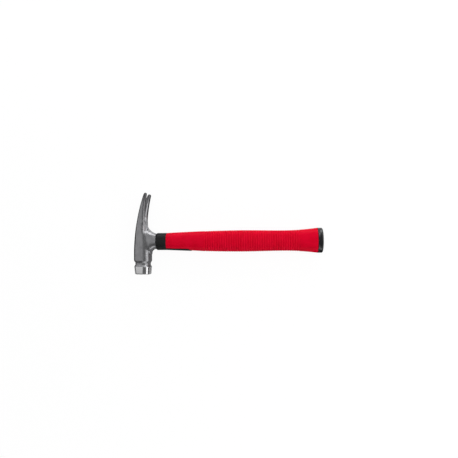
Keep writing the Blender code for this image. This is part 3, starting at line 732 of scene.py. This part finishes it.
def surface_net(field, step):
    """Points and quads of a field's zero surface; a point is the mean of the crossings round its cell."""
    units = np.eye(3, dtype=int)
    totals = np.zeros((field.size, 3))
    counts = np.zeros(field.size)
    quads = []
    for axis, unit in enumerate(units):
        first = np.moveaxis(np.moveaxis(field, axis, 0)[:-1], 0, axis)
        second = np.moveaxis(np.moveaxis(field, axis, 0)[1:], 0, axis)
        crossed = np.argwhere((first < 0) != (second < 0))
        start, end = field[tuple(crossed.T)], field[tuple((crossed + unit).T)]
        place = crossed + (start / (start - end))[:, None] * unit
        u, v = units[(axis + 1) % 3], units[(axis + 2) % 3]
        cells = [np.ravel_multi_index((crossed - shift).T, field.shape) for shift in (u + v, v, 0 * u, u)]
        for cell in cells:
            counts += np.bincount(cell, minlength=field.size)
            totals += np.stack([np.bincount(cell, place[:, k], field.size) for k in range(3)], axis=1)
        ring = np.stack(cells, axis=1)
        quads.append(np.where((start < 0)[:, None], ring, ring[:, ::-1]))
    used = counts > 0
    number = np.cumsum(used) - 1
    return totals[used] / counts[used][:, None] * step, number[np.concatenate(quads)]


def onto_surface(field, points):
    """Newton steps: each point moves against the slope by the field's value over the slope's length."""
    for _ in range(NEWTON_ROUNDS):
        slope = slope_of(field, *points.T, NEWTON_STEP)
        level = field(*points.T)
        points = points - (level / np.sum(slope ** 2, axis=1))[:, None] * slope
    return points


# %% Points and quads of the head
LATTICE_STEP = 0.0005
LATTICE_MARGIN = 0.0015
FACE_MARGIN = 0.0030        # more room below, where the face leans

head_low = np.array([-LATTICE_MARGIN, -FACE_DROP - FACE_MARGIN, -LYING_HALF_DEPTH - LATTICE_MARGIN])
head_high = np.array([NECK_END, CLAW_RISE, LYING_HALF_DEPTH]) + LATTICE_MARGIN
lattice = [np.arange(low, high, LATTICE_STEP) for low, high in zip(head_low, head_high)]
field_values = head_field(*np.meshgrid(*lattice, indexing="ij"))
head_points, head_quads = surface_net(field_values, LATTICE_STEP)
head_points = onto_surface(head_field, head_points + head_low)

print("lattice of", field_values.shape, "points for the head")

# %% [markdown]
# The steel's finish differs from place to place: the poll is polished and edges are rubbed, and the claw's tips
# carry painted shade, a darker colour for the dark they mirror. Masks could be painted, but the shape itself
# knows these places, so each point of the mesh carries three marks from 0 to 1. The edge mark is the field's
# bulge: the sum of its values a short way off in six directions, over the square of that way, which grows with
# the surface's curvature.

# %% Head with its marks
EDGE_REACH = 0.0006
FULL_BULGE = 900.0
POLISH_EDGE = 0.0006
PAINTED_TIP_SHADE_LENGTH = 0.0200

shifts = np.concatenate([np.eye(3), -np.eye(3)]) * EDGE_REACH
bulge = sum(head_field(*(head_points + shift).T) for shift in shifts) / EDGE_REACH ** 2
above_poll = leaning_height(head_points[:, 0], head_points[:, 1]) - POLL_TOP
head_marks = {
    "polish": 1 - ease(above_poll / POLISH_EDGE + 1),
    "edge": np.clip(bulge / FULL_BULGE, 0.0, 1.0),
    # painted shade: the claw's tips darken over their last stretch
    "tip_shade": ease((head_points[:, 1] - CLAW_RISE) / PAINTED_TIP_SHADE_LENGTH + 1),
}
head = add_piece("forged_head", "hammer_head", head_points, head_quads, head_marks)
for label, values in head_marks.items():
    print(label, "marks: mean", round(float(values.mean()), 3), "most", round(float(values.max()), 2))

# %% [markdown]
# The core is a pultruded glass-fibre rod, and the bond is resin cast round it in the head's tapered eye. Both
# are profiles swept round the axis: a rod of ovals with closed ends, and a ring whose profile goes round
# once. Cylinders could be scaled instead, but the sweep also gives the rounded ends and the taper.

# %% Sweep of ovals
def oval(angle, half_height, half_depth, power):
    """Superellipse: sine and cosine raised to 2 over the power, signs kept, times the half sizes."""
    up, side = np.sin(angle), np.cos(angle)
    y = half_height * np.sign(up) * np.abs(up) ** (2 / power)
    z = half_depth * np.sign(side) * np.abs(side) ** (2 / power)
    return y, z


def sweep(x, half_height, half_depth, angle, power=2.0):
    """Grid of ovals: each row has one x and one pair of half sizes, each column one angle."""
    y, z = oval(angle[None, :], np.asarray(half_height)[:, None], np.asarray(half_depth)[:, None], power)
    return np.stack([np.broadcast_to(np.asarray(x)[:, None], y.shape), y, z], axis=-1)


# %% Core
CORE = (0.0076, 0.0058)
CORE_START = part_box("eye_bond")[0].x - ORIGIN[0]
CORE_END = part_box("handle_core")[1].x - ORIGIN[0]
CORE_COLUMNS = 96
END_ROUND = 0.0003
END_ROWS = 5
ROD_ROWS = 40
ROD_ROWS_START = 0.02
ROD_ROWS_MARGIN = 0.01

round_angle = np.linspace(0.0, 2 * math.pi, CORE_COLUMNS, endpoint=False)
quarter = np.linspace(0.0, math.pi / 2, END_ROWS)
rod_x = np.concatenate([
    [CORE_START],
    CORE_START + END_ROUND * (1 - np.cos(quarter)),
    np.linspace(ROD_ROWS_START, CORE_END - ROD_ROWS_MARGIN, ROD_ROWS),
    CORE_END - END_ROUND * (1 - np.sin(quarter)),
    [CORE_END],
])
rod_in = np.concatenate([
    END_ROUND * (1 - np.sin(quarter)),
    np.zeros(ROD_ROWS),
    END_ROUND * (1 - np.cos(quarter)),
])
rod_height, rod_depth = (np.concatenate([[0.0], half - rod_in, [0.0]]) for half in CORE)
core = add_piece("fibre_core", "handle_core", sweep(rod_x, rod_height, rod_depth, round_angle),
                 grid_faces(len(rod_x), CORE_COLUMNS, wrap_columns=True))

# %% Bond
FIT_GAP = 0.0003
CORE_HOLE = (CORE[0] + FIT_GAP, CORE[1] + FIT_GAP)
BOND_ROWS = 24

bond_x = np.linspace(CORE_START, NECK_END, BOND_ROWS)
bond_height = between(EYE_OUTER[0], EYE_NECK[0], bond_x / NECK_END) - FIT_GAP
bond_depth = between(EYE_OUTER[1], EYE_NECK[1], bond_x / NECK_END) - FIT_GAP
ring_x = np.concatenate([bond_x, bond_x[::-1]])
ring_height = np.concatenate([bond_height, np.full(BOND_ROWS, CORE_HOLE[0])])
ring_depth = np.concatenate([bond_depth, np.full(BOND_ROWS, CORE_HOLE[1])])
bond = add_piece("resin_bond", "eye_bond", sweep(ring_x, ring_height, ring_depth, round_angle),
                 grid_faces(len(ring_x), CORE_COLUMNS, wrap_rows=True, wrap_columns=True))

# %% [markdown]
# The handle's outside is one flowing form: a collar, a swell to the belly, a waist and a flare to the butt.
# Collar, grip and cap all take their outline from it, so their joints run flush. A spline through points
# could draw it, but a formula keeps it free of bumps.

# %% Form of the handle
COLLAR_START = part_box("core_jacket")[0].x - ORIGIN[0]
COLLAR_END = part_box("soft_grip")[0].x - ORIGIN[0] - FIT_GAP
GRIP_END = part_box("soft_grip")[1].x - ORIGIN[0]
CAP_START = GRIP_END + FIT_GAP
BELLY_X = 0.1730
WAIST_FROM_END = 0.0640
GRIP_WAIST_X = OVERALL_LENGTH - WAIST_FROM_END
COLLAR_HALVES = (0.0137, 0.0121)
BELLY_HALVES = (0.0174, 0.0133)
WAIST_HALVES = (0.0166, 0.0125)
BUTT_HALVES = (0.0201, LYING_HALF_DEPTH)
SWELL_POWER = 1.65
FLARE_POWER = 2.2


def handle_halves(x):
    """Half height and half depth: the collar's plus a swell, less a waist, plus a flare, each from 0 to 1."""
    swell = 1 - (1 - np.clip((x - COLLAR_END) / (BELLY_X - COLLAR_END), 0.0, 1.0)) ** SWELL_POWER
    waist = ease((x - BELLY_X) / (GRIP_WAIST_X - BELLY_X))
    flare = np.clip((x - GRIP_WAIST_X) / (CAP_START - GRIP_WAIST_X), 0.0, 1.0) ** FLARE_POWER
    sizes = zip(COLLAR_HALVES, BELLY_HALVES, WAIST_HALVES, BUTT_HALVES)
    return [a + swell * (b - a) + waist * (c - b) + flare * (d - c) for a, b, c, d in sizes]


print("collar", round(COLLAR_START, 4), "to", round(COLLAR_END, 4), "grip ends at", round(GRIP_END, 4))

# %% [markdown]
# Under the collar a tongue of the hard jacket runs on along the handle: the guard that takes the blow when
# the head overshoots the nail. Seen from below it has one width and an oval tip. The grip has a notch for it,
# so one outline, with a clearance for the notch, serves both.

# %% Outline of the guard
GUARD_LENGTH = 0.0391
GUARD_TIP = COLLAR_END + GUARD_LENGTH
GUARD_HALF_WIDTH = 0.0084
GUARD_TIP_LENGTH = 0.0045
OVAL_POWER = 2.5


def guard_half_width(x, clearance=0.0):
    """One width up to the tip's centre, then half an oval: the width times the root of one less a square."""
    along = (x - GUARD_TIP + GUARD_TIP_LENGTH) / (GUARD_TIP_LENGTH + clearance)
    return (GUARD_HALF_WIDTH + clearance) * np.sqrt(1 - np.clip(along, 0.0, 1.0) ** 2)


def edge_angle(half_width, half_depth):
    """Angle below the horizontal at which the oval is as wide as the outline: arc cosine of a power."""
    return np.arccos(np.clip(half_width / half_depth, 0.0, 1.0) ** (OVAL_POWER / 2))


def tip_stations(clearance, count):
    """Places along the oval tip, spaced by the sine so that they crowd together at its end."""
    centre = GUARD_TIP - GUARD_TIP_LENGTH
    return centre + (GUARD_TIP_LENGTH + clearance) * np.sin(np.linspace(0.0, math.pi / 2, count))


print("the guard runs on", GUARD_LENGTH, "m past the collar")

# %% [markdown]
# The jacket is one moulding: the collar that shows, a sleeve under the grip, and the guard. Booleans could
# join three solids, but one grid keeps the faces even. Its rows follow the handle. Some columns lie on the
# guard, the others on the sleeve, and the step between them is the guard's side wall. Past the guard's tip
# its columns run together and are welded.

# %% Rows of the jacket
COLLAR_ROUND = 0.0014
GRIP_WALL = 0.0030
COLLAR_EDGE_ROWS = 8
COLLAR_ROWS = 12
GUARD_ROWS = 24
TIP_ROWS = 12
SLEEVE_ROWS = 60

collar_turn = np.linspace(0.0, math.pi / 2, COLLAR_EDGE_ROWS)
collar_x = COLLAR_START + COLLAR_ROUND * (1 - np.cos(collar_turn))
jacket_x = np.concatenate([
    collar_x,
    np.linspace(collar_x[-1], COLLAR_END, COLLAR_ROWS)[1:],
    np.linspace(COLLAR_END, GUARD_TIP - GUARD_TIP_LENGTH, GUARD_ROWS),
    tip_stations(0.0, TIP_ROWS)[1:],
    np.linspace(GUARD_TIP, GRIP_END, SLEEVE_ROWS),
])
on_collar = np.arange(len(jacket_x)) < COLLAR_EDGE_ROWS + COLLAR_ROWS - 1
on_guard = np.arange(len(jacket_x)) < np.sum(on_collar) + GUARD_ROWS + TIP_ROWS - 1
collar_in = np.zeros(len(jacket_x))
collar_in[:COLLAR_EDGE_ROWS] = COLLAR_ROUND * (1 - np.sin(collar_turn))
sleeve_in = np.where(on_collar, collar_in, GRIP_WALL)
guard_in = np.where(on_guard, collar_in, GRIP_WALL)
guard_width = np.where(on_guard, guard_half_width(jacket_x), 0.0)

print(len(jacket_x), "rows along the jacket,", np.sum(on_collar), "of them on the collar")

# %% Jacket
GUARD_COLUMNS = 17
SLEEVE_COLUMNS = 120
BORE_ROWS = 40


def jacket_part(inset, angle):
    """Points of the handle's oval, drawn in by an inset, at one angle for each row and column."""
    half_height, half_depth = handle_halves(jacket_x)
    y, z = oval(angle, (half_height - inset)[:, None], (half_depth - inset)[:, None], OVAL_POWER)
    return np.stack([np.broadcast_to(jacket_x[:, None], y.shape), y, z], axis=-1)


sleeve_edge = edge_angle(guard_width, handle_halves(jacket_x)[1] - sleeve_in)[:, None]
sleeve_angle = -sleeve_edge + (math.pi + 2 * sleeve_edge) * np.linspace(0.0, 1.0, SLEEVE_COLUMNS)
guard_edge = edge_angle(guard_width, handle_halves(jacket_x)[1] - guard_in)[:, None]
guard_angle = between(math.pi + guard_edge, 2 * math.pi - guard_edge, np.linspace(0.0, 1.0, GUARD_COLUMNS))
outside = np.concatenate([jacket_part(sleeve_in, sleeve_angle), jacket_part(guard_in, guard_angle)], axis=1)
bore_angle = np.concatenate([sleeve_angle[0], guard_angle[0]])
bore_x = np.linspace(GRIP_END, COLLAR_START, BORE_ROWS)
bore = sweep(bore_x, np.full(BORE_ROWS, CORE_HOLE[0]), np.full(BORE_ROWS, CORE_HOLE[1]), bore_angle)
jacket_grid = np.concatenate([outside, bore])
jacket = add_piece("moulded_jacket", "core_jacket", jacket_grid,
                   grid_faces(*jacket_grid.shape[:2], wrap_rows=True, wrap_columns=True))

# %% [markdown]
# The grip is soft rubber, moulded over the jacket, with round ribs across the middle of its length. Ribs
# could be a bump in the material, but they show in outline and under the fingers, so they are real: each rib
# is the upper part of a cosine arch, and two arches meet in a sharp groove. Beside the guard the grip's
# underside is drawn in a little, so that the hard guard stands proud and takes the blow.

# %% Ribs and relief
RIB_PITCH = 0.00373
RIB_DEPTH = 0.0007
RIBS_FROM_COLLAR = 0.0601
RIBS_FROM_END = 0.0345
RIBS_START = COLLAR_END + RIBS_FROM_COLLAR
RIB_COUNT = int((OVERALL_LENGTH - RIBS_FROM_END - RIBS_START) / RIB_PITCH)
RIBS_END = RIBS_START + RIB_COUNT * RIB_PITCH
GUARD_PROUD = 0.0006
GUARD_RUNOUT = 0.0300


def rib_inset(x):
    """Depth below the handle's form: the rib's depth times one less the cosine of its phase, without sign."""
    phase = (x - RIBS_START) / RIB_PITCH
    inside = (x > RIBS_START) & (x < RIBS_END)
    return np.where(inside, RIB_DEPTH * (1 - np.abs(np.cos(math.pi * phase))), 0.0)


def relief(x):
    """How far the underside is drawn in beside the guard: growing along it, gone some way past its tip."""
    grown = ease((x - COLLAR_END) / (GUARD_TIP - COLLAR_END))
    return GUARD_PROUD * grown * (1 - ease((x - GUARD_TIP) / GUARD_RUNOUT))


print(RIB_COUNT, "ribs from", round(RIBS_START, 4), "to", round(RIBS_END, 4))

# %% [markdown]
# The grip's skin is open below, where the notch is, so it can't be a plain sweep of closed ovals. Each row is
# an oval that stops at the notch's edges, and past the tip the two edges meet and are welded. An outside and
# an inside, joined by the notch's walls and the two end faces, make one closed moulding. A Solidify modifier
# could make the inside, but it would carry the ribs through the wall, and the real bore is smooth.

# %% Skin of the grip
GRIP_COLUMNS = 124
NOTCH_EDGE_COLUMNS = 4


def grip_surface(x, inset, width, underside, round_edge):
    """Ovals open at the notch: columns run from edge to edge, the first few round the notch's edge."""
    half_height, half_depth = (half[:, None] - inset[:, None] for half in handle_halves(x))
    turn = np.linspace(0.0, math.pi / 2, NOTCH_EDGE_COLUMNS)
    edge = np.minimum(round_edge, width)[:, None]
    edge_in = edge * (1 - np.sin(turn))
    edge_width = width[:, None] + edge * (1 - np.cos(turn))
    first = -edge_angle(edge_width, half_depth)
    middle = between(first[:, -1:], math.pi - first[:, -1:], np.linspace(0.0, 1.0, GRIP_COLUMNS)[1:-1])
    angle = np.concatenate([first, middle, math.pi - first[:, ::-1]], axis=1)
    drawn_in = np.concatenate([edge_in, 0 * middle, edge_in[:, ::-1]], axis=1)
    half_height = half_height - drawn_in - np.where(np.sin(angle) < 0, underside[:, None], 0.0)
    y, z = oval(angle, half_height, half_depth, OVAL_POWER)
    return np.stack([np.broadcast_to(x[:, None], y.shape), y, z], axis=-1)


# %% Outside and inside of the grip
GRIP_EDGE = 0.0005
NOTCH_EDGE = 0.0003
GRIP_EDGE_ROWS = 6
PLAIN_ROWS = 14
ROWS_PER_RIB = 10
BUTT_ROWS = 16

grip_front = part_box("soft_grip")[0].x - ORIGIN[0]
notch_end = GUARD_TIP + FIT_GAP
end_turn = np.linspace(0.0, math.pi / 2, GRIP_EDGE_ROWS)
outer_rows = np.concatenate([
    grip_front + GRIP_EDGE * (1 - np.cos(end_turn)),
    np.linspace(grip_front + GRIP_EDGE, GUARD_TIP - GUARD_TIP_LENGTH, GUARD_ROWS)[1:],
    tip_stations(FIT_GAP, TIP_ROWS)[1:],
    np.linspace(notch_end, RIBS_START, PLAIN_ROWS)[1:],
    np.linspace(RIBS_START, RIBS_END, RIB_COUNT * ROWS_PER_RIB + 1)[1:],
    np.linspace(RIBS_END, GRIP_END - GRIP_EDGE, BUTT_ROWS)[1:],
    GRIP_END - GRIP_EDGE * (1 - np.sin(end_turn[1:])),
])
notch_rows = GRIP_EDGE_ROWS + GUARD_ROWS - 1 + TIP_ROWS - 1
end_in = np.zeros(len(outer_rows))
end_in[:GRIP_EDGE_ROWS] = GRIP_EDGE * (1 - np.sin(end_turn))
end_in[1 - GRIP_EDGE_ROWS:] = GRIP_EDGE * (1 - np.cos(end_turn[1:]))
inner_rows = np.concatenate([outer_rows[:notch_rows], np.linspace(notch_end, GRIP_END, SLEEVE_ROWS)[1:]])


def notch_width(x):
    """Half the notch's width in the rows that reach it, and nothing in the rows past its tip."""
    return np.where(np.arange(len(x)) < notch_rows, guard_half_width(x, FIT_GAP), 0.0)


outer_inset = rib_inset(outer_rows) + end_in
inner_inset = np.full(len(inner_rows), GRIP_WALL - FIT_GAP)
outer_skin = grip_surface(outer_rows, outer_inset, notch_width(outer_rows), relief(outer_rows), NOTCH_EDGE)
inner_skin = grip_surface(inner_rows, inner_inset, notch_width(inner_rows), 0 * inner_rows, 0.0)

print("grip of", len(outer_rows), "rows outside and", len(inner_rows), "inside")

# %% Grip
columns = outer_skin.shape[1]
inner_first = len(outer_rows) * columns


def wall_faces(corner, step):
    """Quads between the two skins along a run of points: a step on, across to the inside, and back."""
    return np.stack([corner, corner + step, corner + step + inner_first, corner + inner_first], axis=1)


wall_right = wall_faces(np.arange(notch_rows - 1) * columns, columns)
wall_left = wall_right + columns - 1
front_face = wall_faces(np.arange(columns - 1), 1)
back_face = front_face + np.array([len(outer_rows) - 1] * 2 + [len(inner_rows) - 1] * 2) * columns
outer_faces = grid_faces(len(outer_rows), columns)
inner_faces = grid_faces(len(inner_rows), columns) + inner_first
grip_faces = np.concatenate([outer_faces, inner_faces, wall_right, wall_left, front_face, back_face])
grip_points = np.concatenate([outer_skin.reshape(-1, 3), inner_skin.reshape(-1, 3)])
grip = add_piece("ribbed_grip", "soft_grip", grip_points, grip_faces)

# %% [markdown]
# The end cap is a hard button that closes the handle, with a plug inside the jacket. It is a profile of ovals
# from the plug's hidden end to the slightly crowned end face, closed by a pole at each end. Towards the end
# the ovals lose their flat sides, as the rounding of the real cap does.

# %% Profile of the cap
CAP_ROUND = 0.0022
CAP_EDGE = 0.0004
CAP_CROWN = 0.0001
CAP_END_POWER = 2.0
CAP_BLEND = 0.35
CAP_EDGE_ROWS = 5
CAP_SIDE_ROWS = 6
CAP_CORNER_ROWS = 14
CAP_CROWN_ROWS = 10

edge_turn = np.linspace(0.0, math.pi / 2, CAP_EDGE_ROWS)
corner_turn = np.linspace(0.0, math.pi / 2, CAP_CORNER_ROWS)
crown = np.linspace(1.0, 0.0, CAP_CROWN_ROWS)[1:]
corner_end = OVERALL_LENGTH - CAP_CROWN
cap_x = np.concatenate([
    CAP_START + CAP_EDGE * (1 - np.cos(edge_turn)),
    np.linspace(CAP_START + CAP_EDGE, corner_end - CAP_ROUND, CAP_SIDE_ROWS)[1:-1],
    corner_end - CAP_ROUND * (1 - np.sin(corner_turn)),
    corner_end + CAP_CROWN * (1 - crown ** 2),
])
cap_in = np.concatenate([
    CAP_EDGE * (1 - np.sin(edge_turn)),
    np.zeros(CAP_SIDE_ROWS - 2),
    CAP_ROUND * (1 - np.cos(corner_turn)),
])
cap_height, cap_depth = (np.concatenate([half - cap_in, (half - CAP_ROUND) * crown]) for half in BUTT_HALVES)
toward_end = (cap_x - CAP_START) / (OVERALL_LENGTH - CAP_START)
cap_power = between(OVAL_POWER, CAP_END_POWER, ease(toward_end / CAP_BLEND))

print("cap from", round(CAP_START, 4), "to", round(OVERALL_LENGTH, 4))

# %% Cap
PLUG_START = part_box("end_cap")[0].x - ORIGIN[0]
CAP_COLUMNS = 144

cap_angle = np.linspace(0.0, 2 * math.pi, CAP_COLUMNS, endpoint=False)
button = sweep(cap_x, cap_height, cap_depth, cap_angle, cap_power[:, None])
plug_x = np.array([PLUG_START, PLUG_START, CAP_START])
plug = sweep(plug_x, np.array([0, 1, 1]) * CORE[0], np.array([0, 1, 1]) * CORE[1], cap_angle)
cap_grid = np.concatenate([plug, button])
cap = add_piece("butt_cap", "end_cap", cap_grid,
                grid_faces(*cap_grid.shape[:2], wrap_columns=True))

# %% [markdown]
# Finishes come last. Each one is a shader whose colour, roughness and bump vary a little with noise in the
# piece's own coordinates, because no moulded or forged surface is the same all over. Pictures could carry
# that, but noise has no seams and holds at any distance.

# %% Helpers for finishes
CLOUD_RANGE = (0.3, 0.7)
GRAIN_RANGE = (0.25, 0.75)


def new_finish(name, metallic, specular):
    """A material, its node tree and its shader, with what is the same all over set on the shader."""
    material = bpy.data.materials.new(name)
    material.use_nodes = True
    shader = material.node_tree.nodes["Principled BSDF"]
    shader.inputs["Metallic"].default_value = metallic
    shader.inputs["Specular IOR Level"].default_value = specular
    return material, material.node_tree, shader


def noise(tree, scale, detail, stretch=(1.0, 1.0, 1.0)):
    """Noise from 0 to 1 in the piece's coordinates; the scale counts features in a metre."""
    place = add_node(tree, "ShaderNodeTexCoord").outputs["Object"]
    mapped = add_node(tree, "ShaderNodeMapping", {"Vector": place, "Scale": stretch}).outputs[0]
    sockets = {"Vector": mapped, "Scale": scale, "Detail": detail}
    return add_node(tree, "ShaderNodeTexNoise", sockets).outputs["Fac"]


def colour_mix(tree, factor, first, second):
    """A colour between two, by a factor; a Mix node's colours are inputs 6 and 7 and output 2."""
    made = add_node(tree, "ShaderNodeMix", {"Factor": factor}, data_type="RGBA")
    for number, colour in ((6, first), (7, second)):
        if isinstance(colour, bpy.types.NodeSocket):
            tree.links.new(colour, made.inputs[number])
        else:
            made.inputs[number].default_value = (*colour, 1.0)
    return made.outputs[2]


def clouded(tree, cloud, first, second):
    """A colour that drifts between two over the middle range of a noise."""
    return colour_mix(tree, spread(tree, cloud, *CLOUD_RANGE, 0.0, 1.0), first, second)


def set_look(tree, shader, colour, roughness, heights, depth):
    """Colour and roughness on the shader, and a bump from heights of 0 to 1 times a depth in metres."""
    bump = add_node(tree, "ShaderNodeBump", {"Height": heights, "Strength": 1.0, "Distance": depth})
    tree.links.new(colour, shader.inputs["Base Color"])
    tree.links.new(roughness, shader.inputs["Roughness"])
    tree.links.new(bump.outputs["Normal"], shader.inputs["Normal"])


# %% [markdown]
# The head is blasted after forging, which leaves an even satin. The poll is then ground bright and handling
# rubs the edges. The claw's tips are painted darker: painted shade for the dark they mirror. The marks that the
# head's points carry lead from one look to the next, so a single material does for the whole forging.

# %% Forged steel
SATIN = ((0.300, 0.300, 0.312), (0.355, 0.355, 0.366))
RUBBED = (0.50, 0.50, 0.51)
# colour of the painted shade on the claw's tips
PAINTED_TIP_SHADE = (0.185, 0.185, 0.190)
POLISHED = (0.75, 0.75, 0.76)
RUBBED_PART = 0.10
RUBBED_ROUGHNESS_PART = 0.90
SATIN_ROUGHNESS = (0.33, 0.43)
POLISHED_ROUGHNESS = (0.13, 0.19)
POLISHED_GRAIN_PART = 0.15
BLASTED_DEPTH = 0.00004


def forged_steel():
    """Satin blasted steel, with a polished poll, painted shade on the claw's tips and brighter edges, each by
    its mark.
    """
    material, tree, shader = new_finish("forged_steel", metallic=1.0, specular=0.5)
    polish, edge, tip_shade = (add_node(tree, "ShaderNodeAttribute", attribute_name=label).outputs["Fac"]
                            for label in ("polish", "edge", "tip_shade"))
    mottle = noise(tree, scale=160.0, detail=4.0)
    grain = noise(tree, scale=2600.0, detail=3.0)
    rubbed_part = math_node(tree, "MULTIPLY", edge, RUBBED_PART)
    rubbed = colour_mix(tree, rubbed_part, clouded(tree, mottle, *SATIN), RUBBED)
    # painted shade on the claw's tips
    tip_shaded = colour_mix(tree, tip_shade, rubbed, PAINTED_TIP_SHADE)
    colour = colour_mix(tree, polish, tip_shaded, POLISHED)
    smoothed = spread(tree, edge, 0.0, 1.0, 1.0, RUBBED_ROUGHNESS_PART)
    dull = math_node(tree, "MULTIPLY", spread(tree, grain, *GRAIN_RANGE, *SATIN_ROUGHNESS), smoothed)
    bright = spread(tree, mottle, *CLOUD_RANGE, *POLISHED_ROUGHNESS)
    roughness = add_node(tree, "ShaderNodeMix", {"Factor": polish, "A": dull, "B": bright}).outputs["Result"]
    heights = math_node(tree, "MULTIPLY", grain, spread(tree, polish, 0.0, 1.0, 1.0, POLISHED_GRAIN_PART))
    set_look(tree, shader, colour, roughness, heights, BLASTED_DEPTH)
    return material


head.data.materials.append(forged_steel())
print("head finished in", head.data.materials[0].name)

# %% [markdown]
# The grip's rubber is a strong, matt red with the fine texture of its mould. Light that wanders below the
# surface could be added, but so dense a pigment shows none at this size, so a plain shader with hardly any
# gloss does.

# %% Red rubber
RED = ((0.755, 0.0012, 0.022), (0.825, 0.0018, 0.028))
RUBBER_ROUGHNESS = (0.30, 0.40)
RUBBER_DEPTH = 0.00003


def soft_red():
    """Matt red rubber with a fine moulded texture."""
    material, tree, shader = new_finish("soft_red", metallic=0.0, specular=0.035)
    cloud = noise(tree, scale=70.0, detail=3.0)
    pores = noise(tree, scale=3200.0, detail=2.0)
    roughness = spread(tree, pores, *GRAIN_RANGE, *RUBBER_ROUGHNESS)
    set_look(tree, shader, clouded(tree, cloud, *RED), roughness, pores, RUBBER_DEPTH)
    return material


grip.data.materials.append(soft_red())
print("grip finished in", grip.data.materials[0].name)

# %% [markdown]
# Jacket and cap are hard black mouldings. The collar is dull from an eroded mould, and the cap is smoother
# and shows the softbox on its rounding, so one function makes two materials.

# %% Hard black mouldings
COLLAR_BLACK = ((0.0115, 0.0118, 0.0120), (0.0150, 0.0153, 0.0155))
COLLAR_ROUGHNESS = (0.40, 0.52)
CAP_BLACK = ((0.0095, 0.0085, 0.0100), (0.0130, 0.0118, 0.0135))
CAP_ROUGHNESS = (0.20, 0.29)
MOULDED_DEPTH = 0.00003


def moulded_black(name, blacks, roughness_range, specular):
    """Hard moulded plastic: near black, with the fine sparkle of an eroded mould."""
    material, tree, shader = new_finish(name, metallic=0.0, specular=specular)
    cloud = noise(tree, scale=240.0, detail=3.0)
    spark = noise(tree, scale=4200.0, detail=2.0)
    roughness = spread(tree, spark, *GRAIN_RANGE, *roughness_range)
    set_look(tree, shader, clouded(tree, cloud, *blacks), roughness, spark, MOULDED_DEPTH)
    return material


jacket.data.materials.append(moulded_black("hard_black", COLLAR_BLACK, COLLAR_ROUGHNESS, specular=0.18))
cap.data.materials.append(moulded_black("cap_black", CAP_BLACK, CAP_ROUGHNESS, specular=0.65))
print("jacket and cap finished in", jacket.data.materials[0].name, "and", cap.data.materials[0].name)

# %% [markdown]
# Core and bond are all but hidden; they show only in the eye, from the head's outer side. The rod's fibres
# run along it, so its noise is stretched along x, and its end faces show them cut. The resin is dark and
# uneven, as poured.

# %% Glass fibre and resin
FIBRE = ((0.50, 0.43, 0.24), (0.74, 0.68, 0.47))
FIBRE_ROUGHNESS = (0.35, 0.55)
FIBRE_DEPTH = 0.00003
STRAND_STRETCH = (0.01, 1.0, 1.0)
RESIN = ((0.030, 0.029, 0.027), (0.060, 0.058, 0.053))
RESIN_ROUGHNESS = (0.22, 0.50)
RESIN_DEPTH = 0.00008
WIDE_RANGE = (0.2, 0.8)


def glass_fibre():
    """Pale yellow rod with long fibres along it and their cut ends on its faces."""
    material, tree, shader = new_finish("glass_fibre", metallic=0.0, specular=0.45)
    strands = noise(tree, scale=2200.0, detail=3.0, stretch=STRAND_STRETCH)
    roughness = spread(tree, strands, *WIDE_RANGE, *FIBRE_ROUGHNESS)
    set_look(tree, shader, clouded(tree, strands, *FIBRE), roughness, strands, FIBRE_DEPTH)
    return material


def cast_resin():
    """Dark resin, poured: glossy in places and dull in others."""
    material, tree, shader = new_finish("cast_resin", metallic=0.0, specular=0.5)
    cloud = noise(tree, scale=500.0, detail=4.0)
    roughness = spread(tree, cloud, *WIDE_RANGE, *RESIN_ROUGHNESS)
    set_look(tree, shader, clouded(tree, cloud, *RESIN), roughness, cloud, RESIN_DEPTH)
    return material


core.data.materials.append(glass_fibre())
bond.data.materials.append(cast_resin())
print("finishes:", [material.name for material in bpy.data.materials if material.users])
